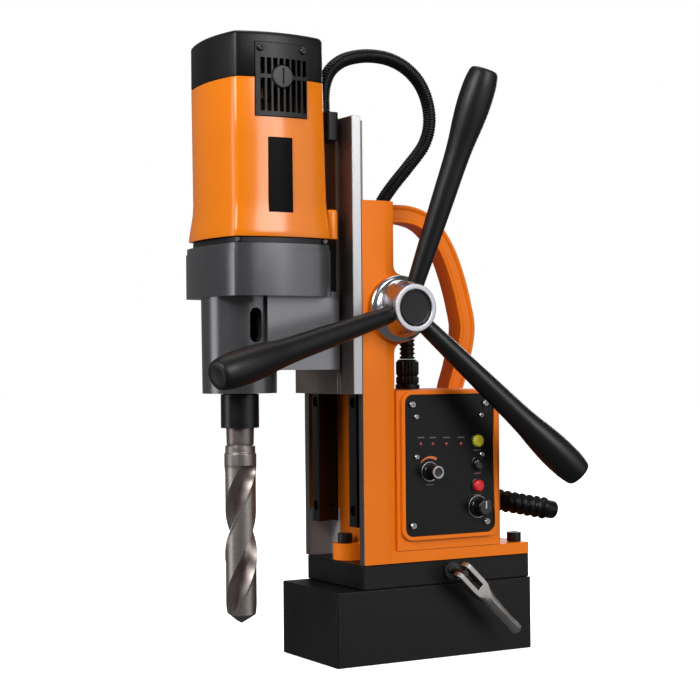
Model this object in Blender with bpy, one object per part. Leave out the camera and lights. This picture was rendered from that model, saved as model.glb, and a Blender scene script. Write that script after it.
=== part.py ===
"""Magnetic drill press, built as an assembly of separate sub-parts with real joints.

Frame: +Z is up, the spindle side faces -Y, the feed handles and the control panel face +X.
The origin is the centre of the magnet's bottom face.  Every size below is in millimetres,
and new_object() turns it into the metres of the scene.
"""
import math

import bmesh
import bpy
from mathutils import Matrix, Vector

MM = 0.001
GAP = 0.3                      # clearance kept between two pieces that touch
TAU = 2.0 * math.pi

# ---------------------------------------------------------------- driving dimensions
MAGNET_LENGTH = 165.0
MAGNET_WIDTH = 82.0
MAGNET_HEIGHT = 52.5
PLATE_FRONT = -61.6            # front of swivel plate and frame
PLATE_REAR = 80.9
PLATE_TOP = 70.0
FRAME_HALF_WIDTH = 43.0
COLUMN_TOP = 326.0
COLUMN_REAR = -34.5
CHANNEL_HALF_WIDTH = 37.0
CHANNEL_FLOOR = -43.0
FLANGE_TOP = 78.5
BOX_REAR = 55.5
BOX_TOP = 192.0
BOX_FACE = 43.4
PANEL_FACE = 44.5

PIVOT_Y = 12.0                 # swivel axis
CLAMP_Z = 61.8                 # height of the swivel clamp stud

FEED_Y, FEED_Z = -33.1, 249.8  # feed shaft axis
PINION_RADIUS = 12.0
PINION_TEETH = 16
HANDLE_X = 57.0                # where the three handle axes meet
HANDLE_START_ANGLE = 75.5      # degrees from +Y towards +Z
HANDLE_CANT = 11.9             # degrees that the handles lean outwards
HANDLE_LENGTH = 174.0

SLIDE_HALF_WIDTH = 43.5
SLIDE_BOTTOM, SLIDE_TOP = 190.0, 384.5
SLIDE_FRONT, SLIDE_REAR = -69.0, -62.0
RACK_BACK = -49.7

SPINDLE_Y = -136.0
MOTOR_Y = -121.4
CASING_BOTTOM, CASING_TOP = 258.0, 293.6
NECK_BOTTOM = 191.5
HOUSING_BOTTOM, HOUSING_TOP = 298.3, 406.3
CAP_TOP = 437.9
NOSE_BOTTOM = 167.4
DRILL_TIP = 31.4
DRILL_RADIUS = 11.2
DRILL_PITCH = 128.0

INTERMEDIATE = (24.0, -121.0)  # x, y of the intermediate gear shaft
STAGE1_TEETH = (8, 30)
STAGE2_TEETH = (10, 29)

HOSE_RADIUS = 5.0
HOSE_ROUTE = [
    (17.0, -77.0, 388.4), (17.0, -77.0, 394.0), (16.8, -76.9, 401.0), (16.2, -75.3, 410.0), (15.5, -70.5, 419.5),
    (15.0, -61.8, 426.8), (13.0, -50.1, 431.4), (11.0, -34.6, 434.1), (8.0, -16.7, 433.7),
    (5.0, 0.1, 428.5), (1.0, 14.2, 418.9), (-3.0, 23.3, 405.9), (-7.0, 27.4, 390.8),
    (-10.0, 24.0, 375.2), (-13.0, 12.2, 359.1), (-15.0, -0.2, 344.3), (-16.0, -9.8, 331.0),
    (-16.0, -17.0, 315.0), (-16.0, -20.0, 299.0), (-14.5, -17.0, 283.5), (-12.5, -9.5, 269.0),
    (-9.5, -2.2, 254.0), (-6.4, 3.0, 241.0), (-5.0, 4.8, 230.0), (-5.0, 4.8, 222.0), (-5.0, 4.8, 214.7),
]

BUTTON_Y = 33.1
BUTTON_RADIUS = 4.3
BUTTON_HEIGHTS = {"start_button": 154.6, "mode_button": 137.8, "stop_button": 122.2}
SPEED_KNOB = (-8.0, 134.0, 6.0)    # y, z, radius
MAGNET_KNOB = (33.0, 107.0, 7.0)

COLOURS = {                    # base colour, roughness, metallic
    "orange": ((0.80, 0.20, 0.015), 0.35, 0.0),
    "black_paint": ((0.012, 0.012, 0.013), 0.45, 0.0),
    "black_plastic": ((0.015, 0.015, 0.017), 0.50, 0.0),
    "gunmetal": ((0.09, 0.09, 0.10), 0.35, 0.8),
    "steel": ((0.45, 0.45, 0.46), 0.30, 1.0),
    "dark_steel": ((0.05, 0.05, 0.055), 0.40, 0.9),
    "drill_steel": ((0.22, 0.20, 0.19), 0.35, 1.0),
    "chrome": ((0.75, 0.75, 0.77), 0.08, 1.0),
    "aluminium": ((0.70, 0.70, 0.72), 0.35, 1.0),
    "lever": ((0.25, 0.24, 0.24), 0.40, 0.9),
    "rubber": ((0.02, 0.02, 0.02), 0.80, 0.0),
    "copper": ((0.50, 0.20, 0.08), 0.35, 1.0),
    "resin": ((0.10, 0.03, 0.02), 0.50, 0.0),
    "bronze": ((0.45, 0.28, 0.12), 0.40, 1.0),
    "board": ((0.02, 0.15, 0.05), 0.50, 0.0),
    "yellow": ((0.55, 0.50, 0.02), 0.40, 0.0),
    "red": ((0.60, 0.02, 0.02), 0.40, 0.0),
    "lamp": ((0.20, 0.02, 0.02), 0.20, 0.0),
}
SMOOTH_ANGLE = math.radians(35.0)


# ---------------------------------------------------------------- helpers
def clear_scene():
    """Remove every object that is already in the file."""
    for obj in list(bpy.data.objects):
        bpy.data.objects.remove(obj, do_unlink=True)


def material(name):
    """Return the named Principled material, made on first use."""
    found = bpy.data.materials.get(name)
    if found:
        return found
    colour, roughness, metallic = COLOURS[name]
    made = bpy.data.materials.new(name)
    made.use_nodes = True
    shader = made.node_tree.nodes["Principled BSDF"]
    shader.inputs["Base Color"].default_value = (*colour, 1.0)
    shader.inputs["Roughness"].default_value = roughness
    shader.inputs["Metallic"].default_value = metallic
    return made


def axes(centre, along):
    """Matrix whose local z runs along X, Y or Z (or any vector) through centre."""
    named = {"X": ((0, 1, 0), (0, 0, 1)), "Y": ((0, 0, 1), (1, 0, 0)), "Z": ((1, 0, 0), (0, 1, 0))}
    if along in named:
        u, v = (Vector(side) for side in named[along])
    else:
        w = Vector(along).normalized()
        u = w.cross(Vector((0.0, 0.0, 1.0))).normalized()
        v = w.cross(u)
    w = u.cross(v)
    turn = Matrix((u, v, w)).transposed().to_4x4()
    return Matrix.Translation(Vector(centre)) @ turn


def empty(name, at, parent=None):
    """Add an empty that marks a joint's axis, at a world point in millimetres."""
    marker = bpy.data.objects.new(name, None)
    marker.empty_display_size = 0.02
    marker.location = Vector(at) * MM
    bpy.context.scene.collection.objects.link(marker)
    if parent:
        marker.parent = parent
        marker.matrix_parent_inverse = parent.matrix_world.inverted()
    bpy.context.view_layer.update()
    return marker


def new_object(name, bm, colour, parent=None):
    """Turn a bmesh in world millimetres into an object whose origin is its parent's axis."""
    bmesh.ops.recalc_face_normals(bm, faces=bm.faces)
    origin = parent.matrix_world.translation if parent else Vector()
    bm.transform(Matrix.Translation(-origin) @ Matrix.Scale(MM, 4))
    mesh = bpy.data.meshes.new(name)
    bm.to_mesh(mesh)
    bm.free()
    mesh.materials.append(material(colour))
    mesh.shade_smooth()
    mesh.set_sharp_from_angle(angle=SMOOTH_ANGLE)
    obj = bpy.data.objects.new(name, mesh)
    bpy.context.scene.collection.objects.link(obj)
    if parent:
        obj.parent = parent
    bpy.context.view_layer.update()
    return obj


def cut(obj, bm, operation="DIFFERENCE"):
    """Apply an exact Boolean with a bmesh in world millimetres, and drop the cutter."""
    bmesh.ops.recalc_face_normals(bm, faces=bm.faces)
    bm.transform(Matrix.Scale(MM, 4))
    mesh = bpy.data.meshes.new("cutter")
    bm.to_mesh(mesh)
    bm.free()
    cutter = bpy.data.objects.new("cutter", mesh)
    cutter.hide_render = True
    cutter.display_type = "WIRE"
    bpy.context.scene.collection.objects.link(cutter)
    step = obj.modifiers.new("cut", "BOOLEAN")
    step.operation = operation
    step.object = cutter
    bpy.context.view_layer.update()
    result = bpy.data.meshes.new_from_object(obj.evaluated_get(bpy.context.evaluated_depsgraph_get()))
    result.name = obj.name
    obj.modifiers.clear()
    obj.data = result
    bpy.data.objects.remove(cutter)
    result.shade_smooth()
    result.set_sharp_from_angle(angle=SMOOTH_ANGLE)
    return obj


def add_rings(bm, rings, closed=False):
    """Skin equal-length rings of points; cap both ends, or join the ends when closed."""
    verts = [[bm.verts.new(point) for point in ring] for ring in rings]
    count = len(verts[0])
    spans = len(rings) if closed else len(rings) - 1
    for index in range(spans):
        low, high = verts[index], verts[(index + 1) % len(verts)]
        for side in range(count):
            following = (side + 1) % count
            bm.faces.new((low[side], low[following], high[following], high[side]))
    if not closed:
        bm.faces.new(verts[0][::-1])
        bm.faces.new(verts[-1])


def add_box(bm, low, high):
    """Add an axis-aligned box between two corners."""
    middle = [(a + b) / 2.0 for a, b in zip(low, high)]
    size = [b - a for a, b in zip(low, high)]
    place = Matrix.Translation(middle) @ Matrix.Diagonal((*size, 1.0))
    bmesh.ops.create_cube(bm, size=1.0, matrix=place)


def add_prism(bm, outline, along, low, high):
    """Extrude an outline of (u, v) points along X, Y or Z between two heights."""
    place = axes((0.0, 0.0, 0.0), along)
    add_rings(bm, [[place @ Vector((u, v, height)) for u, v in outline] for height in (low, high)])


def add_turned(bm, centre, along, profile, steps=32, ring=False):
    """Turn a profile of (radius, height) points; ring=True turns a closed profile with a hole."""
    place = axes(centre, along)
    angles = [TAU * index / steps for index in range(steps)]

    def point(radius, height, angle):
        return place @ Vector((radius * math.cos(angle), radius * math.sin(angle), height))

    if ring:
        add_rings(bm, [[point(r, h, a) for r, h in profile] for a in angles], closed=True)
    else:
        add_rings(bm, [[point(r, h, a) for a in angles] for r, h in profile])


def add_rod(bm, centre, along, radius, low, high, steps=24):
    """Add a plain cylinder."""
    add_turned(bm, centre, along, [(radius, low), (radius, high)], steps)


def add_tube(bm, centre, along, inner, outer, low, high, steps=32):
    """Add a plain ring."""
    add_turned(bm, centre, along, [(inner, low), (outer, low), (outer, high), (inner, high)], steps, ring=True)


def rounded_rectangle(low, high, radius, steps=4):
    """Outline of a rectangle with round corners, counter-clockwise."""
    corners = [(high[0], high[1], 0), (low[0], high[1], 1), (low[0], low[1], 2), (high[0], low[1], 3)]
    outline = []
    for x, y, quarter in corners:
        cx = x - radius if x == high[0] else x + radius
        cy = y - radius if y == high[1] else y + radius
        for step in range(steps + 1):
            angle = math.pi / 2.0 * (quarter + step / steps)
            outline.append((cx + radius * math.cos(angle), cy + radius * math.sin(angle)))
    return outline


def pillow(half_x, front, rear, bulge_x, bulge_y, steps=7, trim=0.03):
    """Four-sided outline with bowed sides and tight corners, counter-clockwise."""
    corners = [(-half_x, front), (half_x, front), (half_x, rear), (-half_x, rear)]
    outward = [(0, -bulge_y), (bulge_x, 0), (0, bulge_y), (-bulge_x, 0)]
    outline = []
    for side in range(4):
        (x0, y0), (x1, y1) = corners[side], corners[(side + 1) % 4]
        bow_x, bow_y = outward[side]
        for step in range(steps + 1):
            t = trim + (1.0 - 2.0 * trim) * step / steps
            bow = 4.0 * t * (1.0 - t)
            outline.append((x0 + (x1 - x0) * t + bow_x * bow, y0 + (y1 - y0) * t + bow_y * bow))
    return outline


def gear_outline(teeth, radius, phase=0.0, root_share=0.27, tip_share=0.11):
    """Straight-flanked gear with backlash; radius is the pitch radius."""
    module = 2.0 * radius / teeth
    root, tip = radius - 1.1 * module, radius + 0.75 * module
    step = TAU / teeth
    outline = []
    for tooth in range(teeth):
        middle = phase + tooth * step
        for reach, share in ((root, -root_share), (tip, -tip_share), (tip, tip_share), (root, root_share)):
            angle = middle + share * step
            outline.append((reach * math.cos(angle), reach * math.sin(angle)))
    return outline


def add_gear(bm, centre, along, teeth, radius, bore, low, high, phase=0.0):
    """Add a spur gear: a toothed outline around a bore with as many points."""
    place = axes(centre, along)
    outer = gear_outline(teeth, radius, phase)
    inner = [(bore * math.cos(math.atan2(v, u)), bore * math.sin(math.atan2(v, u))) for u, v in outer]
    loops = [(outer, low), (outer, high), (inner, high), (inner, low)]
    add_rings(bm, [[place @ Vector((u, v, height)) for u, v in loop] for loop, height in loops], closed=True)


def curve_through(points, spacing):
    """Points about one spacing apart on a smooth curve through the given points."""
    route = [Vector(point) for point in points]
    route = [2 * route[0] - route[1]] + route + [2 * route[-1] - route[-2]]
    dense = []
    for index in range(1, len(route) - 2):
        a, b, c, d = route[index - 1:index + 3]
        for step in range(8):
            t = step / 8.0
            dense.append(0.5 * (2 * b + (c - a) * t + (2 * a - 5 * b + 4 * c - d) * t ** 2
                                + (3 * b - a - 3 * c + d) * t ** 3))
    dense.append(route[-2])
    kept = [dense[0]]
    for point in dense[1:-1]:
        if (point - kept[-1]).length >= spacing and (point - dense[-1]).length >= spacing * 0.6:
            kept.append(point)
    return kept + [dense[-1]]


# ---------------------------------------------------------------- magnet
def build_magnet():
    """Steel magnet block with its potted coil, and the swivel pivot on top."""
    half_x, half_y = MAGNET_WIDTH / 2.0, MAGNET_LENGTH / 2.0
    groove_outer, groove_inner, groove_top = (30.0, 71.0), (14.0, 55.0), 40.0
    bm = bmesh.new()
    add_prism(bm, rounded_rectangle((-half_x, -half_y), (half_x, half_y), 1.2, 2), "Z", 0.0, MAGNET_HEIGHT)
    body = new_object("magnet_body", bm, "black_paint")
    cutter = bmesh.new()
    loops = [groove_outer, groove_outer, groove_inner, groove_inner]
    heights = [-1.0, groove_top, groove_top, -1.0]
    rings = [[(sx * x, sy * y, z) for sx, sy in ((-1, -1), (1, -1), (1, 1), (-1, 1))]
             for (x, y), z in zip(loops, heights)]
    add_rings(cutter, rings, closed=True)
    cut(body, cutter)
    cutter = bmesh.new()
    add_rod(cutter, (0, PIVOT_Y, 0), "Z", 12.0 + GAP, 42.0, MAGNET_HEIGHT + 1.0, 24)
    cut(body, cutter)

    low, high = 0.8, groove_top - GAP
    bm = bmesh.new()
    rings = [[(sx * (x + side * GAP), sy * (y + side * GAP), z)
              for sx, sy in ((-1, -1), (1, -1), (1, 1), (-1, 1))]
             for (x, y), side, z in ((groove_outer, -1, low), (groove_outer, -1, high),
                                     (groove_inner, 1, high), (groove_inner, 1, low))]
    add_rings(bm, rings, closed=True)
    new_object("magnet_coil", bm, "resin")

    bm = bmesh.new()
    add_turned(bm, (0, PIVOT_Y, 0), "Z", [(12.0, 42.0 + GAP), (12.0, 65.0), (11.0, 66.0)], 24)
    new_object("swivel_pivot", bm, "steel")


# ---------------------------------------------------------------- swivel base and frame
BASE_BOLTS = {                  # x, y and the height that the head rests on
    "base_bolt_front": (0.0, -52.5, 82.0 + GAP),
    "base_bolt_right": (33.0, 73.0, FLANGE_TOP + GAP),
    "base_bolt_left": (-33.0, 73.0, FLANGE_TOP + GAP),
}
BOLT_RADIUS = 3.0


def build_swivel_plate(swivel):
    """Black plate that turns on the pivot and carries the frame."""
    bm = bmesh.new()
    outline = rounded_rectangle((-41.0, PLATE_FRONT), (41.0, PLATE_REAR), 1.2, 2)
    add_prism(bm, outline, "Z", MAGNET_HEIGHT + GAP, PLATE_TOP)
    plate = new_object("swivel_plate", bm, "black_paint", swivel)
    cutter = bmesh.new()
    add_rod(cutter, (0, PIVOT_Y, 0), "Z", 12.0 + GAP, 40.0, 66.0 + GAP, 24)
    cut(plate, cutter)
    cutter = bmesh.new()
    add_rod(cutter, (0, PIVOT_Y, CLAMP_Z), "X", 2.4 + GAP, 8.0, 60.0, 12)
    cut(plate, cutter)
    cutter = bmesh.new()
    for x, y, _ in BASE_BOLTS.values():
        add_rod(cutter, (x, y, 0), "Z", BOLT_RADIUS + GAP, 58.0, 90.0, 12)
    cut(plate, cutter)


def boss_outline(radius, fillet):
    """Side view of the feed boss, flared into the column's back by a fillet above and below."""
    across = COLUMN_REAR + fillet - FEED_Y
    rise = math.sqrt((radius + fillet) ** 2 - across ** 2)
    meet = math.atan2(rise, across)
    upper = [(COLUMN_REAR - 4.0, rise)]
    for step in range(5):
        angle = math.pi + meet * step / 4.0
        upper.append((COLUMN_REAR + fillet + fillet * math.cos(angle), rise + fillet * math.sin(angle)))
    round_end = [meet * (1.0 - step / 9.0) for step in range(1, 18)]
    nose = [(FEED_Y + radius * math.cos(angle), radius * math.sin(angle)) for angle in round_end]
    outline = upper + nose + [(y, -z) for y, z in reversed(upper)]
    return [(y, z + FEED_Z) for y, z in outline]


def build_frame_casting(swivel):
    """Orange casting: channel column, foot flange, front ear and the feed boss."""
    front, floor, rear = PLATE_FRONT, CHANNEL_FLOOR, COLUMN_REAR
    wide, slot = FRAME_HALF_WIDTH, CHANNEL_HALF_WIDTH
    bm = bmesh.new()
    column = [(-wide, front), (-slot, front), (-slot, floor), (slot, floor), (slot, front), (wide, front),
              (wide, -42.7), (wide - 2.0, rear), (-wide + 2.0, rear), (-wide, -42.7)]
    add_prism(bm, column, "Z", PLATE_TOP + GAP, COLUMN_TOP)
    frame = new_object("frame_casting", bm, "orange", swivel)
    bm = bmesh.new()
    add_prism(bm, rounded_rectangle((-wide, -40.0), (wide, 80.0), 2.0, 2), "Z", PLATE_TOP + GAP, FLANGE_TOP)
    cut(frame, bm, "UNION")
    bm = bmesh.new()
    add_prism(bm, boss_outline(24.6, 7.0), "X", -41.0, 41.0)
    cut(frame, bm, "UNION")
    bm = bmesh.new()
    add_rod(bm, (0, FEED_Y, FEED_Z), "X", 24.3, 36.0, 43.6, 40)
    cut(frame, bm, "UNION")
    cutter = bmesh.new()
    add_box(cutter, (-slot, front - 5.0, FEED_Z - 40.0), (slot, floor, FEED_Z + 40.0))
    cut(frame, cutter)
    bm = bmesh.new()
    ear = [(12.0, -40.0), (-12.0, -40.0)]
    ear += [(12.0 * math.cos(a), -49.0 + 12.0 * math.sin(a)) for a in [math.pi * (1 + i / 10) for i in range(11)]]
    add_prism(bm, ear, "Z", PLATE_TOP + GAP, 82.0)
    cut(frame, bm, "UNION")
    cutter = bmesh.new()
    add_rod(cutter, (0, FEED_Y, FEED_Z), "X", 14.5, -12.0, 12.0, 20)
    cut(frame, cutter)
    cutter = bmesh.new()
    add_rod(cutter, (0, FEED_Y, FEED_Z), "X", 8.9, -60.0, 60.0, 18)
    cut(frame, cutter)
    cutter = bmesh.new()
    for x, y, _ in BASE_BOLTS.values():
        add_rod(cutter, (x, y, 0), "Z", BOLT_RADIUS + GAP, 60.0, 95.0, 12)
    cut(frame, cutter)


def build_base_bolts(swivel):
    """Three socket cap screws that hold the frame to the swivel plate."""
    for name, (x, y, seat) in BASE_BOLTS.items():
        profile = [(BOLT_RADIUS, 59.0), (BOLT_RADIUS, seat), (5.0, seat), (5.0, seat + 5.4), (4.4, seat + 6.0),
                   (2.5, seat + 6.0), (2.5, seat + 3.0)]
        bm = bmesh.new()
        add_turned(bm, (x, y, 0), "Z", profile, 12)
        new_object(name, bm, "black_paint", swivel)


RAIL_FRONT = PLATE_FRONT + GAP
GIB_SCREW_HEIGHTS = (107.5, 183.7, 259.9)
GIB_SCREW_X = 27.6


def build_gib_rails(swivel):
    """Dovetail rails in the channel, with three counterbored holes each."""
    for name, side in (("gib_rail_right", 1), ("gib_rail_left", -1)):
        bm = bmesh.new()
        outline = [(22.1, RAIL_FRONT), (32.5, RAIL_FRONT), (32.5, CHANNEL_FLOOR - GAP),
                   (26.1, CHANNEL_FLOOR - GAP), (26.1, -50.0)]
        add_prism(bm, [(side * x, y) for x, y in outline], "Z", 96.0, COLUMN_TOP - 1.0)
        rail = new_object(name, bm, "dark_steel", swivel)
        cutter = bmesh.new()
        for z in GIB_SCREW_HEIGHTS:
            profile = [(3.9, RAIL_FRONT - 1.0), (3.9, -56.5), (1.9, -56.5), (1.9, -46.0)]
            add_turned(cutter, (side * GIB_SCREW_X, 0, z), "Y", profile, 10)
        cut(rail, cutter)


def build_feed_bushes(swivel):
    """Bronze bushes that carry the feed shaft in the boss."""
    for name, low, high in (("feed_bush_right", 12.5, 43.0), ("feed_bush_left", -42.0, -12.5)):
        bm = bmesh.new()
        add_tube(bm, (0, FEED_Y, FEED_Z), "X", 6.8, 8.5, low, high, 16)
        new_object(name, bm, "bronze", swivel)


def build_control_box(swivel):
    """Orange box behind the column, open towards the panel, with a raised rim round it."""
    x_low, y_low, z_low = -41.0, COLUMN_REAR + GAP, FLANGE_TOP + GAP
    bm = bmesh.new()
    outline = [(x_low, y_low), (BOX_FACE, y_low), (BOX_FACE, BOX_REAR - 3.0), (BOX_FACE - 3.0, BOX_REAR),
               (x_low + 3.0, BOX_REAR), (x_low, BOX_REAR - 3.0)]
    add_prism(bm, outline, "Z", z_low, BOX_TOP)
    box = new_object("control_box", bm, "orange", swivel)
    bm = bmesh.new()
    add_prism(bm, rounded_rectangle((-31.4, 85.8), (49.9, 191.6), 8.0, 5), "X", 40.0, 45.7)
    cut(box, bm, "UNION")
    cutter = bmesh.new()
    add_prism(cutter, rounded_rectangle((-28.9, 88.3), (47.4, 189.2), 6.0, 4), "X", 42.8, 60.0)
    cut(box, cutter)
    cutter = bmesh.new()
    add_box(cutter, (x_low + 4.0, -26.0, 92.0), (50.0, 44.0, 186.0))
    cut(box, cutter)
    cutter = bmesh.new()
    add_rod(cutter, (RELIEF_ROOT[0], 0.0, RELIEF_ROOT[2]), "Y", 6.0, 40.0, 60.0, 16)
    cut(box, cutter)


def build_panel(swivel):
    """Control panel plate with holes for its controls, and the board behind it."""
    bm = bmesh.new()
    add_prism(bm, rounded_rectangle((-28.6, 88.6), (47.1, 188.9), 5.7, 4), "X", 43.1, PANEL_FACE)
    panel = new_object("panel_plate", bm, "black_plastic", swivel)
    cutter = bmesh.new()
    for z in BUTTON_HEIGHTS.values():
        add_rod(cutter, (0, BUTTON_Y, z), "X", BUTTON_RADIUS + GAP, 40.0, 50.0, 16)
    for y, z, _ in (SPEED_KNOB, MAGNET_KNOB):
        add_rod(cutter, (0, y, z), "X", 3.0 + GAP, 40.0, 50.0, 12)
    cut(panel, cutter)

    bm = bmesh.new()
    add_box(bm, (20.0, -22.0, 98.0), (21.6, 40.0, 180.0))
    board = new_object("circuit_board", bm, "board", swivel)
    bm = bmesh.new()
    add_box(bm, (4.0, -14.0, 104.0), (20.4, 10.0, 132.0))
    add_box(bm, (8.0, 18.0, 140.0), (20.4, 34.0, 170.0))
    cut(board, bm, "UNION")


def build_controls(swivel):
    """Push buttons and knobs, each under an empty on its own axis."""
    colours = {"start_button": "yellow", "mode_button": "black_plastic", "stop_button": "red"}
    for name, z in BUTTON_HEIGHTS.items():
        axis = empty(name + "_axis", (PANEL_FACE, BUTTON_Y, z), swivel)
        bm = bmesh.new()
        reach = [(BUTTON_RADIUS, 36.0), (BUTTON_RADIUS, 47.4), (BUTTON_RADIUS - 0.6, 48.0)]
        add_turned(bm, (0, BUTTON_Y, z), "X", reach, 20)
        new_object(name, bm, colours[name], axis)
    for name, (y, z, radius), top in (("speed_knob", SPEED_KNOB, 56.5), ("magnet_knob", MAGNET_KNOB, 55.8)):
        axis = empty(name + "_axis", (PANEL_FACE, y, z), swivel)
        bm = bmesh.new()
        profile = [(3.0, 30.0), (3.0, PANEL_FACE + 0.4), (radius, PANEL_FACE + 0.4), (radius, 47.0),
                   (radius - 0.8, 47.6), (radius - 1.4, top)]
        add_turned(bm, (0, y, z), "X", profile, 16)
        new_object(name, bm, "black_plastic", axis)


RELIEF_ROOT = (28.0, 56.0, 110.6)
RELIEF_END = (28.0, 113.5, 99.4)


def build_strain_relief(swivel):
    """Ribbed mains strain relief behind the control box, hollow where a lead would enter."""
    root, end = Vector(RELIEF_ROOT), Vector(RELIEF_END)
    length = (end - root).length
    profile = [(4.5, -6.0), (4.5, 0.4)]
    ribs, pitch = 8, 5.6
    for rib in range(ribs):
        start = 1.6 + rib * pitch
        profile += [(6.4, start), (8.0, start + 1.4), (8.0, start + 3.2)]
    profile += [(7.0, length - 10.0), (7.0, length - 1.0), (6.2, length), (4.0, length), (4.0, length - 30.0)]
    bm = bmesh.new()
    add_turned(bm, root, tuple(end - root), profile, 12)
    new_object("mains_strain_relief", bm, "rubber", swivel)


def build_carry_handle(swivel):
    """Cast carrying loop from the column's back to the control box."""
    route = [(-34.2, 320.5), (-16.0, 320.8), (-1.0, 320.6), (13.0, 316.5), (25.0, 306.5), (34.5, 292.0),
             (41.5, 274.0), (46.0, 255.0), (48.2, 236.0), (44.0, 211.5), (38.7, 192.3)]
    half_x, half_depth, corner = 8.4, 6.6, 2.4
    path = curve_through([(0.0, y, z) for y, z in route], 11.0)
    bm = bmesh.new()
    rings = []
    outline = rounded_rectangle((-half_x, -half_depth), (half_x, half_depth), corner, 1)
    for index, point in enumerate(path):
        along = (path[min(index + 1, len(path) - 1)] - path[max(index - 1, 0)]).normalized()
        if index == 0:
            along = Vector((0.0, 1.0, 0.0))
        if index == len(path) - 1:
            along = Vector((0.0, 0.0, -1.0))
        outward = Vector((1.0, 0.0, 0.0)).cross(along)
        rings.append([point + Vector((x, 0.0, 0.0)) + outward * depth for x, depth in outline])
    add_rings(bm, rings)
    new_object("carry_handle", bm, "orange", swivel)


def build_conduit_glands(swivel, carriage):
    """Screwed gland on the control box, and the gland block behind the motor."""
    x, y, z = HOSE_ROUTE[-1]
    bm = bmesh.new()
    add_turned(bm, (x, y, 0), "Z", [(8.6, BOX_TOP + GAP), (8.6, 196.5), (6.9, 196.9), (6.9, z - 1.5), (6.2, z - GAP)], 20)
    new_object("box_gland", bm, "rubber", swivel)
    bm = bmesh.new()
    add_prism(bm, rounded_rectangle((10.0, -81.8), (31.0, -71.9), 2.5, 3), "Z", 368.0, HOSE_ROUTE[0][2] - GAP)
    new_object("motor_gland", bm, "rubber", carriage)


def build_conduit():
    """Flexible conduit between the motor and the control box."""
    path = curve_through(HOSE_ROUTE, 13.0)
    curve = bpy.data.curves.new("motor_conduit", "CURVE")
    curve.dimensions = "3D"
    curve.bevel_depth = HOSE_RADIUS * MM
    curve.bevel_resolution = 3
    curve.use_fill_caps = True
    spline = curve.splines.new("POLY")
    spline.points.add(len(path) - 1)
    for slot, point in zip(spline.points, path):
        slot.co = (*(point * MM), 1.0)
    curve.materials.append(material("rubber"))
    conduit = bpy.data.objects.new("motor_conduit", curve)
    bpy.context.scene.collection.objects.link(conduit)


# ---------------------------------------------------------------- swivel clamp
LEVER_PIVOT = Vector((58.0, PIVOT_Y, CLAMP_Z))
LEVER_ALONG = Vector((0.065, 0.700, -0.711)).normalized()
LEVER_PIN = Vector((1.0, 0.0, 0.0)).cross(LEVER_ALONG).normalized()


def build_clamp(swivel):
    """Clamp stud with its washer and cross pin, and the forked cam lever."""
    bm = bmesh.new()
    profile = [(2.4, 12.8), (2.4, 41.0 + GAP), (6.5, 41.0 + GAP), (6.5, 43.0), (2.4, 43.0), (2.4, 60.2)]
    add_turned(bm, (0, PIVOT_Y, CLAMP_Z), "X", profile, 14)
    stud = new_object("clamp_stud", bm, "dark_steel", swivel)
    bm = bmesh.new()
    add_rod(bm, LEVER_PIVOT, tuple(LEVER_PIN), 1.8, -7.2, 7.2, 12)
    cut(stud, bm, "UNION")

    axis = empty("clamp_lever_axis", LEVER_PIVOT, swivel)
    outward = LEVER_ALONG.cross(LEVER_PIN)
    place = Matrix((LEVER_PIN, outward, LEVER_ALONG)).transposed().to_4x4()
    place = Matrix.Translation(LEVER_PIVOT) @ place
    sections = [                # half width across the fork, half depth, distance, corner roundness
        (6.3, 2.6, -4.6), (6.4, 4.2, -3.0), (6.5, 4.6, 0.0), (6.5, 4.5, 14.0), (6.4, 4.6, 18.0), (5.6, 4.6, 23.0),
        (4.9, 4.5, 30.0), (4.2, 4.1, 42.0), (3.8, 3.8, 52.0), (4.3, 4.3, 57.5), (4.1, 4.1, 60.5), (2.8, 2.8, 62.0),
    ]
    bm = bmesh.new()
    rings = []
    for half_wide, half_deep, distance in sections:
        share = min(max((distance - 16.0) / 10.0, 0.12), 1.0)
        corner = share * min(half_wide, half_deep) * 0.98
        outline = rounded_rectangle((-half_wide, -half_deep), (half_wide, half_deep), corner, 2)
        rings.append([place @ Vector((u, v, distance)) for u, v in outline])
    add_rings(bm, rings)
    lever = new_object("clamp_lever", bm, "lever", axis)
    cutter = bmesh.new()
    slot = [Vector((u, v, w)) for w in (-8.0, 15.0) for u, v in ((-2.8, -9.0), (2.8, -9.0), (2.8, 9.0), (-2.8, 9.0))]
    add_rings(cutter, [[place @ point for point in slot[:4]], [place @ point for point in slot[4:]]])
    cut(lever, cutter)
    cutter = bmesh.new()
    add_rod(cutter, LEVER_PIVOT, tuple(LEVER_PIN), 1.8 + GAP, -10.0, 10.0, 12)
    cut(lever, cutter)


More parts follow.
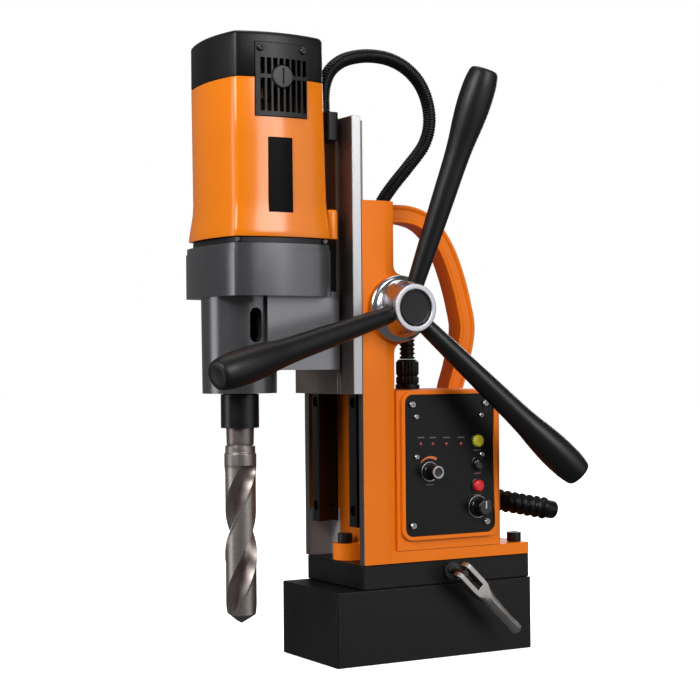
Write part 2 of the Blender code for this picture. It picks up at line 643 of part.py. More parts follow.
# ---------------------------------------------------------------- carriage
def build_slide(carriage):
    """Slide plate with its dovetail tongue, and the feed rack behind it."""
    bm = bmesh.new()
    wide, front, rear = SLIDE_HALF_WIDTH, SLIDE_FRONT, SLIDE_REAR
    outline = [(-wide, front), (-24.5, front), (-24.5, front - 2.5), (24.5, front - 2.5), (24.5, front), (wide, front),
               (wide, rear), (21.6, rear), (21.6, -61.0), (25.6, -50.0), (-25.6, -50.0), (-21.6, -61.0),
               (-21.6, rear), (-wide, rear)]
    add_prism(bm, outline, "Z", SLIDE_BOTTOM, SLIDE_TOP)
    new_object("slide_plate", bm, "dark_steel", carriage)

    pitch = TAU * PINION_RADIUS / PINION_TEETH
    module = pitch / math.pi
    pitch_line = FEED_Y - PINION_RADIUS
    root, tip = pitch_line - 1.1 * module, pitch_line + 0.75 * module
    teeth_below, teeth_above = 11, 25
    outline = [(FEED_Z - (teeth_below + 0.5) * pitch, RACK_BACK), (FEED_Z - (teeth_below + 0.5) * pitch, root)]
    for tooth in range(-teeth_below, teeth_above + 1):
        middle = FEED_Z + tooth * pitch
        for reach, share in ((root, -0.27), (tip, -0.11), (tip, 0.11), (root, 0.27)):
            outline.append((middle + share * pitch, reach))
    top = FEED_Z + (teeth_above + 0.5) * pitch
    outline += [(top, root), (top, RACK_BACK)]
    bm = bmesh.new()
    add_rings(bm, [[(x, y, z) for z, y in outline] for x in (-6.0, 6.0)])
    new_object("feed_rack", bm, "steel", carriage)


def build_casing(carriage):
    """Gunmetal gear casing with its spindle neck and the bracket to the slide."""
    bm = bmesh.new()
    low = pillow(41.0, -158.3, -84.3, 6.0, 5.0)
    rings = [(low, CASING_BOTTOM), (low, 289.4), (pillow(40.4, -157.7, -84.9, 6.0, 5.0), 289.6),
             (pillow(40.4, -157.7, -84.9, 6.0, 5.0), CASING_TOP)]
    add_rings(bm, [[(x, y, z) for x, y in outline] for outline, z in rings])
    casing = new_object("gear_casing", bm, "gunmetal", carriage)
    bm = bmesh.new()
    add_box(bm, (-28.0, -128.0, 207.4), (28.0, -72.0 + GAP, 262.0))
    cut(casing, bm, "UNION")
    bm = bmesh.new()
    add_turned(bm, (0, SPINDLE_Y, 0), "Z", [(26.0, NECK_BOTTOM), (26.6, 262.0)], 32)
    cut(casing, bm, "UNION")
    cutter = bmesh.new()
    cavity = pillow(38.0, -155.3, -87.3, 6.0, 5.0)
    add_prism(cutter, cavity, "Z", 263.0, 300.0)
    cut(casing, cutter)
    cutter = bmesh.new()
    bore = [(15.0, 180.0), (15.0, 196.0), (19.0, 196.0), (19.0, 270.0)]
    add_turned(cutter, (0, SPINDLE_Y, 0), "Z", bore, 24)
    cut(casing, cutter)
    cutter = bmesh.new()
    slot = rounded_rectangle((SPINDLE_Y - 4.5, 226.5), (SPINDLE_Y + 4.5, 250.5), 4.49, 4)
    add_prism(cutter, slot, "X", -40.0, 40.0)
    cut(casing, cutter)


def build_bearing_plate(carriage):
    """Dark end plate between the gear casing and the motor, with the armature's lower bearing."""
    bm = bmesh.new()
    add_prism(bm, pillow(36.8, -154.6, -87.8, 5.2, 4.4), "Z", CASING_TOP + GAP, HOUSING_BOTTOM - GAP)
    plate = new_object("bearing_plate", bm, "dark_steel", carriage)
    cutter = bmesh.new()
    add_rod(cutter, (0, MOTOR_Y, 0), "Z", 4.0 + GAP, 280.0, 310.0, 24)
    cut(plate, cutter)


def build_motor_shell(carriage):
    """Orange motor housing and black end cap, with windows for the vent grilles."""
    def section(half, front, rear, z, inset=0.0):
        outline = pillow(half - inset, front + inset, rear - inset, 6.0, 5.0)
        return [(x, y, z) for x, y in outline]

    wall = 3.0
    levels = [(38.2, -157.2, -83.5, HOUSING_BOTTOM), (37.9, -156.9, -83.7, 303.0), (35.4, -154.9, -84.8, 321.0),
              (35.8, -155.4, -87.4, HOUSING_TOP)]
    bm = bmesh.new()
    outer = [section(*level) for level in levels]
    inner = [section(*level, inset=wall) for level in reversed(levels)]
    add_rings(bm, outer + inner, closed=True)
    housing = new_object("motor_housing", bm, "orange", carriage)

    bm = bmesh.new()
    half, front, rear = 35.8, -155.4, -87.4
    base = HOUSING_TOP + GAP
    rings = [section(half, front, rear, CAP_TOP - 3.0, wall), section(half, front, rear, base, wall),
             section(half, front, rear, base), section(half, front, rear, CAP_TOP - 2.4),
             section(half, front, rear, CAP_TOP - 0.8, 0.7), section(half, front, rear, CAP_TOP, 2.4)]
    add_rings(bm, rings)
    cap = new_object("motor_cap", bm, "black_plastic", carriage)
    bm = bmesh.new()
    add_rod(bm, (31.5, -79.5, 0), "Z", 4.6, HOUSING_BOTTOM, 319.0, 14)
    cut(housing, bm, "UNION")
    bm = bmesh.new()
    add_rod(bm, (0, MOTOR_Y, 0), "Z", 9.0, 424.0, CAP_TOP - 1.5, 20)
    cut(cap, bm, "UNION")
    cutter = bmesh.new()
    add_rod(cutter, (0, MOTOR_Y, 0), "Z", 4.0 + GAP, 420.0, 431.0, 20)
    cut(cap, cutter)
    for shell in (housing, cap):
        cutter = bmesh.new()
        for side in (1, -1):
            low, high = sorted((side * 34.0, side * 52.0))
            add_box(cutter, (low, GRILLE_LOW[0] - GAP, GRILLE_LOW[1] - GAP),
                    (high, GRILLE_HIGH[0] + GAP, GRILLE_HIGH[1] + GAP))
        cut(shell, cutter)


GRILLE_LOW, GRILLE_HIGH = (-142.0, 380.0), (-102.6, 430.0)
BRUSH_Z = 407.3


def side_bow(y):
    """Outer surface of the motor's side at a given Y."""
    t = (y - MOTOR_Y) / 34.0
    return 35.8 + 6.0 * (1.0 - t * t)


def build_grilles(carriage):
    """Slotted vent grilles on both sides of the motor, bowed like the wall around them."""
    steps = 8
    slots, first, pitch, wide = 8, GRILLE_LOW[0] + 3.6, 4.6, 2.9
    for name, side in (("vent_grille_right", 1), ("vent_grille_left", -1)):
        ys = [GRILLE_LOW[0] + (GRILLE_HIGH[0] - GRILLE_LOW[0]) * step / steps for step in range(steps + 1)]
        outline = [(side * (side_bow(y) + 0.9), y) for y in ys] + [(side * (side_bow(y) - 2.4), y) for y in reversed(ys)]
        bm = bmesh.new()
        add_prism(bm, outline, "Z", GRILLE_LOW[1], GRILLE_HIGH[1])
        grille = new_object(name, bm, "black_plastic", carriage)
        cutter = bmesh.new()
        low, high = sorted((side * 30.0, side * 50.0))
        for index in range(slots):
            y = first + index * pitch
            for bottom, top in ((383.5, 405.6), (408.6, 419.5)):
                add_box(cutter, (low, y, bottom), (high, y + wide, top))
        cut(grille, cutter)
        cutter = bmesh.new()
        add_rod(cutter, (0, MOTOR_Y - 1.0, BRUSH_Z), "X", 8.3, low, high, 16)
        cut(grille, cutter)


def build_brush_gear(carriage):
    """Brush holders: a round cap in each grille with its carbon brush behind it."""
    y = MOTOR_Y - 1.0
    for name, side in (("brush_cap_right", 1.0), ("brush_cap_left", -1.0)):
        profile = [(3.2, 11.4), (3.2, 28.0), (5.0, 28.0), (5.0, 38.0), (7.8, 38.0), (7.8, 43.2), (7.2, 43.7)]
        bm = bmesh.new()
        add_turned(bm, (0, y, BRUSH_Z), (side, 0.0, 0.0), profile, 14)
        new_object(name, bm, "black_plastic", carriage)


def build_stator(carriage):
    """Field stack with its coil ends, fixed in the motor housing."""
    bm = bmesh.new()
    profile = [(21.4, 318.0), (23.0, 318.0), (23.0, 310.0), (28.6, 310.0), (28.6, 318.0), (30.6, 318.0),
               (30.6, 366.0), (28.6, 366.0), (28.6, 374.0), (23.0, 374.0), (23.0, 366.0), (21.4, 366.0)]
    add_turned(bm, (0, MOTOR_Y, 0), "Z", profile, 18, ring=True)
    new_object("stator", bm, "steel", carriage)


def build_bearings(carriage):
    """Ball bearings of the spindle, as plain rings."""
    for name, low, high in (("spindle_bearing_lower", 197.0, 209.0), ("spindle_bearing_upper", 252.0, 262.0)):
        bm = bmesh.new()
        add_tube(bm, (0, SPINDLE_Y, 0), "Z", 12.3, 18.6, low, high, 20)
        new_object(name, bm, "steel", carriage)


# ---------------------------------------------------------------- drive train
def gear_phases():
    """Turn each gear so that its teeth sit in the gaps of the gear that it meets."""
    ix, iy = INTERMEDIATE
    to_motor = math.atan2(MOTOR_Y - iy, -ix)
    to_spindle = math.atan2(SPINDLE_Y - iy, -ix)
    pinion1, gear1 = STAGE1_TEETH
    pinion2, gear2 = STAGE2_TEETH
    return {
        "pinion1": to_motor + math.pi + TAU / pinion1 / 2.0,
        "gear1": to_motor,
        "pinion2": to_spindle,
        "gear2": to_spindle + math.pi + TAU / gear2 / 2.0,
    }


def stage_radii(centre_distance, teeth):
    """Pitch radii of two meshing gears from their distance and tooth counts."""
    total = sum(teeth)
    return centre_distance * teeth[0] / total, centre_distance * teeth[1] / total


def build_drive_train(carriage):
    """Armature, intermediate shaft and spindle, each under an empty on its axis."""
    phases = gear_phases()
    ix, iy = INTERMEDIATE
    small1, large1 = stage_radii(math.hypot(ix, iy - MOTOR_Y), STAGE1_TEETH)
    small2, large2 = stage_radii(math.hypot(ix, iy - SPINDLE_Y), STAGE2_TEETH)

    armature = empty("armature_axis", (0, MOTOR_Y, 360.0), carriage)
    bm = bmesh.new()
    add_rod(bm, (0, MOTOR_Y, 0), "Z", 4.0, 291.5, 428.5, 16)
    shaft = new_object("armature_shaft", bm, "steel", armature)
    bm = bmesh.new()
    add_prism(bm, [(u, v + MOTOR_Y) for u, v in gear_outline(STAGE1_TEETH[0], small1, phases["pinion1"])], "Z",
              281.0, 292.5)
    cut(shaft, bm, "UNION")
    bm = bmesh.new()
    add_tube(bm, (0, MOTOR_Y, 0), "Z", 4.3, 20.6, 320.0, 364.0, 20)
    new_object("armature_core", bm, "copper", armature)
    bm = bmesh.new()
    add_tube(bm, (0, MOTOR_Y, 0), "Z", 4.3, 11.0, 397.0, 417.0, 20)
    new_object("commutator", bm, "copper", armature)
    bm = bmesh.new()
    add_turned(bm, (0, MOTOR_Y, 0), "Z", [(4.3, 301.0), (26.0, 301.0), (26.0, 302.6), (9.0, 304.4), (9.0, 307.4),
                                          (4.3, 307.4)], 24, ring=True)
    new_object("cooling_fan", bm, "black_plastic", armature)

    middle = empty("intermediate_axis", (ix, iy, 275.0), carriage)
    bm = bmesh.new()
    add_rod(bm, (ix, iy, 0), "Z", 4.0, 263.0 + GAP, 293.0, 16)
    shaft = new_object("intermediate_shaft", bm, "steel", middle)
    bm = bmesh.new()
    outline = gear_outline(STAGE2_TEETH[0], small2, phases["pinion2"])
    add_prism(bm, [(u + ix, v + iy) for u, v in outline], "Z", 264.4, 279.6)
    cut(shaft, bm, "UNION")
    bm = bmesh.new()
    add_gear(bm, (ix, iy, 0), "Z", STAGE1_TEETH[1], large1, 4.3, 282.0, 290.0, phases["gear1"])
    new_object("intermediate_gear", bm, "steel", middle)

    turning = empty("spindle_axis", (0, SPINDLE_Y, 200.0), carriage)
    bm = bmesh.new()
    socket = [(10.1, NOSE_BOTTOM), (8.5, 233.0), (8.5, 246.0)]
    profile = list(reversed(socket)) + [(13.5, NOSE_BOTTOM), (13.5, NECK_BOTTOM - 0.6), (12.0, NECK_BOTTOM - 0.6),
                                        (12.0, 263.3), (8.6, 263.3), (8.6, 280.6)]
    add_turned(bm, (0, SPINDLE_Y, 0), "Z", profile, 20)
    spindle = new_object("spindle", bm, "black_paint", turning)
    cutter = bmesh.new()
    slot = rounded_rectangle((225.0, -3.6), (245.0, 3.6), 3.5, 3)
    add_prism(cutter, slot, "Y", SPINDLE_Y - 20.0, SPINDLE_Y + 20.0)
    cut(spindle, cutter)
    bm = bmesh.new()
    add_gear(bm, (0, SPINDLE_Y, 0), "Z", STAGE2_TEETH[1], large2, 8.9, 265.0, 277.0, phases["gear2"])
    new_object("spindle_gear", bm, "steel", turning)
    build_drill(turning)


def flute_radius(angle, depth):
    """Radius of the drill's section at an angle, with two round flutes of a given depth."""
    turn = (angle % math.pi) / math.pi
    start, end = 0.27, 0.73
    if depth <= 0.0 or not start < turn < end:
        return DRILL_RADIUS
    share = math.sin(math.pi * (turn - start) / (end - start))
    return DRILL_RADIUS * (1.0 - 0.64 * depth * share ** 0.8)


def build_drill(turning):
    """Taper-shank twist drill with two helical flutes and a 118 degree point."""
    points = 20
    land_angle, land_height = math.radians(-26.0), 95.0
    flute_top, flute_full = 141.5, 121.0
    heights = [DRILL_TIP, 34.5, 38.2] + [43.0 + 8.2 * step for step in range(12)] + [flute_top]
    bm = bmesh.new()
    rings = []
    for z in heights:
        twist = land_angle + TAU * (z - land_height) / DRILL_PITCH
        depth = min(max((flute_top - z) / (flute_top - flute_full), 0.0), 1.0)
        cone = 0.35 + (z - DRILL_TIP) * math.tan(math.radians(59.0))
        ring = []
        for index in range(points):
            angle = TAU * index / points
            radius = min(flute_radius(angle, depth ** 0.6), cone)
            ring.append((radius * math.cos(angle + twist), SPINDLE_Y + radius * math.sin(angle + twist), z))
        rings.append(ring)
    twist = land_angle + TAU * (flute_top - land_height) / DRILL_PITCH
    for radius, z in ((11.2, 149.6), (10.6, 150.0), (10.6, 155.0), (9.0, 155.6), (9.6, 156.6), (9.8, NOSE_BOTTOM),
                      (8.2, 232.0), (6.0, 234.0), (6.0, 244.0)):
        ring = []
        for index in range(points):
            angle = TAU * index / points + twist
            ring.append((radius * math.cos(angle), SPINDLE_Y + radius * math.sin(angle), z))
        rings.append(ring)
    add_rings(bm, rings)
    new_object("drill_bit", bm, "drill_steel", turning)


# ---------------------------------------------------------------- feed gear
def handle_direction(index):
    """Unit vector along one of the three feed handles."""
    angle = math.radians(HANDLE_START_ANGLE + 120.0 * index)
    cant = math.radians(HANDLE_CANT)
    return Vector((math.sin(cant), math.cos(cant) * math.cos(angle), math.cos(cant) * math.sin(angle)))


def build_feed(swivel):
    """Feed shaft and pinion, the hub with its ring and cap, and three handles."""
    axis = empty("feed_axis", (HANDLE_X, FEED_Y, FEED_Z), swivel)
    centre = (0, FEED_Y, FEED_Z)
    hub_middle = Vector((HANDLE_X, FEED_Y, FEED_Z))
    bm = bmesh.new()
    add_turned(bm, centre, "X", [(6.0, -46.0), (6.5, -45.0), (6.5, 60.0)], 20)
    new_object("feed_shaft", bm, "steel", axis)
    bm = bmesh.new()
    add_gear(bm, centre, "X", PINION_TEETH, PINION_RADIUS, 6.8, -7.0, 7.0, math.pi + TAU / PINION_TEETH / 2.0)
    new_object("feed_pinion", bm, "steel", axis)

    bm = bmesh.new()
    profile = [(6.8, 64.7), (6.8, 44.2), (23.7, 44.6), (23.7, 48.2), (18.6, 50.2), (16.0, 53.0), (15.2, 57.0),
               (15.2, 64.7)]
    add_turned(bm, centre, "X", profile, 30, ring=True)
    hub = new_object("feed_hub", bm, "chrome", axis)
    cutter = bmesh.new()
    for index in range(3):
        add_rod(cutter, hub_middle, tuple(handle_direction(index)), 4.0 + GAP, 9.0, 40.0, 14)
    cut(hub, cutter)
    bm = bmesh.new()
    add_turned(bm, centre, "X", [(12.9, 65.0), (16.7, 65.0), (16.7, 68.0), (16.2, 68.6), (12.9, 68.6)], 28, ring=True)
    new_object("hub_ring", bm, "aluminium", axis)
    bm = bmesh.new()
    add_turned(bm, centre, "X", [(12.5, 65.0), (12.5, 67.0), (11.9, 67.6)], 32)
    new_object("hub_cap", bm, "black_plastic", axis)

    grip = [(4.3, 151.0), (4.3, 18.5), (6.3, 18.5), (7.0, 45.0), (7.9, 76.0), (8.7, 107.0), (9.6, 121.0),
            (11.0, 134.0), (11.9, 148.0), (11.7, 162.0), (10.8, 170.0), (9.2, HANDLE_LENGTH)]
    for index, letter in enumerate("abc"):
        along = tuple(handle_direction(index))
        bm = bmesh.new()
        add_rod(bm, hub_middle, along, 4.0, 9.4, 150.0, 12)
        new_object("handle_rod_" + letter, bm, "steel", axis)
        bm = bmesh.new()
        add_turned(bm, hub_middle, along, grip, 14)
        new_object("handle_grip_" + letter, bm, "black_plastic", axis)


def main():
    """Build every sub-part of the drill press."""
    clear_scene()
    build_magnet()
    swivel = empty("swivel_axis", (0, PIVOT_Y, PLATE_TOP))
    build_swivel_plate(swivel)
    build_frame_casting(swivel)
    build_base_bolts(swivel)
    build_gib_rails(swivel)
    build_feed_bushes(swivel)
    build_control_box(swivel)
    build_panel(swivel)
    build_controls(swivel)
    build_strain_relief(swivel)
    build_carry_handle(swivel)
    build_clamp(swivel)
    carriage = empty("carriage_axis", (0, SLIDE_REAR, SLIDE_BOTTOM), swivel)
    build_slide(carriage)
    build_casing(carriage)
    build_bearing_plate(carriage)
    build_motor_shell(carriage)
    build_grilles(carriage)
    build_brush_gear(carriage)
    build_stator(carriage)
    build_bearings(carriage)
    build_drive_train(carriage)
    build_feed(swivel)
    build_conduit_glands(swivel, carriage)
    build_conduit()


main()
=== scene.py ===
"""Studio model of a portable magnetic drill press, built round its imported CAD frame.

Every piece is made in millimetres and stored in metres, with its place in its mesh.
"""

import logging
import math
from dataclasses import dataclass
from enum import Enum
from typing import Dict, List, Sequence, Tuple, Union

import bmesh
import bpy
from mathutils import Matrix, Vector
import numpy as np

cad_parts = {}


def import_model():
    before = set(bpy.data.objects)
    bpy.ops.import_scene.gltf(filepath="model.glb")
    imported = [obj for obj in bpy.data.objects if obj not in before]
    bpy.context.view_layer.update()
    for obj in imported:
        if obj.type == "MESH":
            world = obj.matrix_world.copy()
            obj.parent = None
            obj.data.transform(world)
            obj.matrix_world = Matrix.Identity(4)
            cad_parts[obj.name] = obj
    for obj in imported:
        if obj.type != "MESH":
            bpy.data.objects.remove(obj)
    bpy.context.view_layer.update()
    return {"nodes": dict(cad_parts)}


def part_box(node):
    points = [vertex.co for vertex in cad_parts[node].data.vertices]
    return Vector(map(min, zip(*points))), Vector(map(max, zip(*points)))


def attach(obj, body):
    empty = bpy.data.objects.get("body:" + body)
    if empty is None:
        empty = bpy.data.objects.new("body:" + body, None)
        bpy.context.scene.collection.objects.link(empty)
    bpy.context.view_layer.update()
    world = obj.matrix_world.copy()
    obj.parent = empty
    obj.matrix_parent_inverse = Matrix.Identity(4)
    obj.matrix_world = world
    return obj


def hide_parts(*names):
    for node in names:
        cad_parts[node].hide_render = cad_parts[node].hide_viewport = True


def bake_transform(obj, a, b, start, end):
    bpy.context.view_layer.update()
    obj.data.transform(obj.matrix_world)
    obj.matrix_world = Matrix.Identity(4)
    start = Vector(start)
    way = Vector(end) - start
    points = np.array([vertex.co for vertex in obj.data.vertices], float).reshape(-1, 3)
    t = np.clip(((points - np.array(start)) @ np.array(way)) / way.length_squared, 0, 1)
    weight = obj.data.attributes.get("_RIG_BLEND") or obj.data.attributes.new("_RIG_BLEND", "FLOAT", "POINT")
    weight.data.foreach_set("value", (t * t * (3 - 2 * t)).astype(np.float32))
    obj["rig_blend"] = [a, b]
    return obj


LOG = logging.getLogger("magnetic_drill")
MM = 0.001
TAU = 2.0 * math.pi
Point = Tuple[float, float, float]
Flat = Tuple[float, float]
Colour = Tuple[float, float, float]


class Body(str, Enum):
    """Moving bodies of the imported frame."""

    MAGNET = "magnet"
    FRAME = "frame"
    CARRIAGE = "carriage"
    SPINDLE = "drive_spindle"
    ARMATURE = "armature"
    MIDDLE = "intermediate"
    FEED = "feed"
    CLAMP = "clamp"
    SPEED = "speed_dial"
    SWITCH = "magnet_switch"
    START = "start_push"
    MODE = "mode_push"
    STOP = "stop_push"


# ------------------------------------------------------------------ shader graph
Feed = Union["Signal", float, Sequence[float]]


class Signal:
    """A shader output that can be used in Python arithmetic."""

    def __init__(self, graph: "Graph", socket: bpy.types.NodeSocket) -> None:
        """Wrap an output socket of a graph."""
        self.graph = graph
        self.socket = socket

    def _math(self, operation: str, first: Feed, second: Feed) -> "Signal":
        """Add a Math node and return its result."""
        return self.graph.node("ShaderNodeMath", {"operation": operation}, {0: first, 1: second})

    def __add__(self, other: Feed) -> "Signal":
        """Sum."""
        return self._math("ADD", self, other)

    def __radd__(self, other: Feed) -> "Signal":
        """Sum with a plain number first."""
        return self._math("ADD", other, self)

    def __sub__(self, other: Feed) -> "Signal":
        """Difference."""
        return self._math("SUBTRACT", self, other)

    def __rsub__(self, other: Feed) -> "Signal":
        """Difference from a plain number."""
        return self._math("SUBTRACT", other, self)

    def __mul__(self, other: Feed) -> "Signal":
        """Product."""
        return self._math("MULTIPLY", self, other)

    def __rmul__(self, other: Feed) -> "Signal":
        """Product with a plain number first."""
        return self._math("MULTIPLY", other, self)

    def __truediv__(self, other: Feed) -> "Signal":
        """Quotient."""
        return self._math("DIVIDE", self, other)

    def __abs__(self) -> "Signal":
        """Absolute value."""
        return self._math("ABSOLUTE", self, 0.0)


class Graph:
    """Node graph of one material, with its Principled shader."""

    def __init__(self, name: str) -> None:
        """Start a new material with this name."""
        self.material = bpy.data.materials.new(name)
        self.material.use_nodes = True
        self.tree = self.material.node_tree
        self.shader = self.tree.nodes["Principled BSDF"]

    def node(self, kind: str, settings: Dict[str, object], sockets: Dict[object, Feed],
             out: object = 0) -> Signal:
        """Add a node.

        Args:
            kind: The node's type.
            settings: Attributes to set first; a ramp's stops go under "stops".
            sockets: Values or signals by input name or index.
            out: Name or index of the output to return.

        Returns:
            The chosen output.
        """
        made = self.tree.nodes.new(kind)
        for key, value in settings.items():
            if key == "stops":
                self._set_stops(made.color_ramp, value)
            else:
                setattr(made, key, value)
        for key, value in sockets.items():
            self.plug(made.inputs[key], value)
        return Signal(self, made.outputs[out])

    @staticmethod
    def _set_stops(ramp: bpy.types.ColorRamp, stops: Sequence[Tuple[float, float]]) -> None:
        """Give a ramp grey stops, as pairs of position and brightness."""
        while len(ramp.elements) < len(stops):
            ramp.elements.new(0.5)
        for element, (position, level) in zip(ramp.elements, stops):
            element.position = position
            element.color = (level, level, level, 1.0)

    def plug(self, target: bpy.types.NodeSocket, value: Feed) -> None:
        """Link a signal to a socket, or set the socket's own value."""
        if isinstance(value, Signal):
            self.tree.links.new(value.socket, target)
        elif isinstance(value, (tuple, list)) and target.type == "RGBA":
            target.default_value = (*value[:3], 1.0)
        else:
            target.default_value = value

    def place(self) -> Signal:
        """Object coordinates, in metres of the row's frame."""
        return self.node("ShaderNodeTexCoord", {}, {}, "Object")

    def axis(self, index: int) -> Signal:
        """One object coordinate, in millimetres."""
        split = self.node("ShaderNodeSeparateXYZ", {}, {0: self.place()}, index)
        return split * 1000.0

    def stretched(self, scale: Point, turn: Point = (0.0, 0.0, 0.0)) -> Signal:
        """Object coordinates turned and scaled, in cells per metre."""
        return self.node("ShaderNodeMapping", {}, {"Vector": self.place(), "Rotation": turn, "Scale": scale})

    def noise(self, at: Signal, scale: float, detail: float = 3.0, rough: float = 0.55) -> Signal:
        """Fractal noise between 0 and 1."""
        return self.node("ShaderNodeTexNoise", {},
                         {"Vector": at, "Scale": scale, "Detail": detail, "Roughness": rough})

    def ramp(self, value: Signal, stops: Sequence[Tuple[float, float]]) -> Signal:
        """Grey ramp."""
        return self.node("ShaderNodeValToRGB", {"stops": stops}, {0: value})

    def step(self, value: Signal, low: float, high: float) -> Signal:
        """0 below low, 1 above high, smooth between."""
        return self.node("ShaderNodeMapRange", {"interpolation_type": "SMOOTHSTEP"},
                         {"Value": value, "From Min": low, "From Max": high, "To Min": 0.0, "To Max": 1.0})

    def past(self, value: Signal, place: float, soft: float = 0.5) -> Signal:
        """0 before a place and 1 past it, with a soft edge of that half-width."""
        return self.step(value, place - soft, place + soft)

    def blend(self, share: Feed, first: Feed, second: Feed) -> Signal:
        """Colour mix of two colours by a share."""
        return self.node("ShaderNodeMix", {"data_type": "RGBA"}, {0: share, 6: first, 7: second}, 2)

    def bump(self, height: Signal, distance: float) -> Signal:
        """Bump normal from a height signal; distance is in metres."""
        return self.node("ShaderNodeBump", {}, {"Height": height, "Distance": distance, "Strength": 1.0})

    def set(self, **values: Feed) -> None:
        """Set or link sockets of the Principled shader; underscores stand for spaces."""
        for key, value in values.items():
            self.plug(self.shader.inputs[key.replace("_", " ")], value)


# ------------------------------------------------------------------ finishes
MADE: Dict[str, bpy.types.Material] = {}


@dataclass(frozen=True)
class Finish:
    """Base of every finish: a name and a base colour with roughness."""

    name: str
    colour: Colour
    rough: float = 0.4

    def build(self) -> bpy.types.Material:
        """Make the material, or return the one made before."""
        if self.name not in MADE:
            graph = Graph("finish_" + self.name)
            self.paint(graph)
            MADE[self.name] = graph.material
        return MADE[self.name]

    def paint(self, graph: Graph) -> None:
        """Fill in the graph."""
        graph.set(Base_Color=self.colour, Roughness=self.rough)

    def tone(self, share: float) -> Colour:
        """The base colour, lighter above 1 and darker below."""
        return tuple(min(channel * share, 1.0) for channel in self.colour)


@dataclass(frozen=True)
class Enamel(Finish):
    """Sprayed gloss paint with a fine orange-peel skin, dust nibs and slight drift of colour."""

    peel: float = 0.00003
    coat: float = 0.35
    specular: float = 0.3

    def paint(self, graph: Graph) -> None:
        """Fill in the graph."""
        at = graph.place()
        drift = graph.noise(at, 9.0, 2.0)
        peel = graph.noise(at, 620.0, 2.0, 0.4)
        fine = graph.noise(at, 2600.0, 2.0)
        nib = graph.ramp(graph.noise(at, 1500.0, 0.0), [(0.74, 0.0), (0.80, 1.0)])
        colour = graph.blend(graph.ramp(drift, [(0.3, 0.0), (0.7, 1.0)]), self.tone(0.94), self.tone(1.04))
        rough = self.rough + 0.10 * (fine - 0.5) + 0.06 * (drift - 0.5) + 0.12 * nib
        colour, rough, metallic = self.wear_and_painted_shade(graph, colour, rough)
        graph.set(Base_Color=colour, Roughness=rough, Metallic=metallic, Coat_Weight=self.coat,
                  Coat_Roughness=0.12, Specular_IOR_Level=self.specular,
                  Normal=graph.bump(peel + 0.35 * fine + 0.25 * nib, self.peel))

    def wear_and_painted_shade(self, graph: Graph, colour: Signal, rough: Signal) -> Tuple[Signal, Signal, Feed]:
        """Colour, roughness and share of bare metal; plain enamel has no bare metal and no painted shade."""
        return colour, rough, 0.0


@dataclass(frozen=True)
class CastEnamel(Enamel):
    """Enamel of the castings; the column's guide faces are bare and its channel is darkened with painted
    shade.
    """

    guide_face: float = -61.2
    channel_side: float = 37.25
    channel_floor: float = -42.7
    painted_shade_foot: float = 82.6
    bare_side: float = -24.0
    bare_top: float = 105.0
    primer: Colour = (0.30, 0.30, 0.30)

    def wear_and_painted_shade(self, graph: Graph, colour: Signal, rough: Signal) -> Tuple[Signal, Signal, Feed]:
        """Darken the channel with painted shade, and take the paint off its low left part and the guide
        faces.

        Args:
            graph: Graph of the material.
            colour: Colour of the paint.
            rough: Roughness of the paint.

        Returns:
            Colour, roughness and share of bare metal.
        """
        side, depth, level = (graph.axis(index) for index in range(3))
        wear = graph.noise(graph.stretched((90.0, 90.0, 1400.0)), 1.0, 4.0)
        bare = 1.0 - graph.past(depth + 0.5 * (wear - 0.5), self.guide_face, 0.15)
        steel = graph.blend(wear, (0.075, 0.07, 0.066), (0.17, 0.16, 0.15))
        between = 1.0 - graph.past(abs(side), self.channel_side, 0.15)
        inside = between * (1.0 - graph.past(depth, self.channel_floor, 0.2))
        # painted shade: the channel above its foot is drawn at half the paint's tone
        colour = graph.blend(inside * graph.past(level, self.painted_shade_foot, 0.4), colour, self.tone(0.5))
        left = 1.0 - graph.past(side, self.bare_side)
        unpainted = inside * left * (1.0 - graph.past(level + 0.6 * wear, self.bare_top))
        colour = graph.blend(unpainted, colour, self.primer)
        colour = graph.blend(bare, colour, steel)
        return colour, rough + bare * (0.06 + 0.1 * wear), bare * 0.9


@dataclass(frozen=True)
class TexturedPaint(Finish):
    """Black powder coat with a pebbled grain and faint rub marks."""

    grain: float = 900.0
    depth: float = 0.00005

    def paint(self, graph: Graph) -> None:
        """Fill in the graph."""
        at = graph.place()
        grain = graph.noise(at, self.grain, 3.0, 0.6)
        cloud = graph.noise(at, 22.0, 3.0)
        streak = graph.noise(graph.stretched((30.0, 300.0, 900.0)), 1.0, 5.0)
        rub = graph.ramp(streak, [(0.62, 0.0), (0.74, 1.0)])
        dust = graph.ramp(graph.noise(at, 2100.0, 0.0), [(0.76, 0.0), (0.80, 1.0)])
        colour = graph.blend(cloud, self.tone(0.75), self.tone(1.5))
        colour = graph.blend(rub * 0.25, colour, self.tone(4.0))
        colour = graph.blend(dust * 0.4, colour, (0.09, 0.09, 0.09))
        rough = self.rough + 0.22 * (grain - 0.5) + 0.12 * (cloud - 0.5) - 0.08 * rub
        graph.set(Base_Color=colour, Roughness=rough, Specular_IOR_Level=0.2,
                  Normal=graph.bump(grain, self.depth))


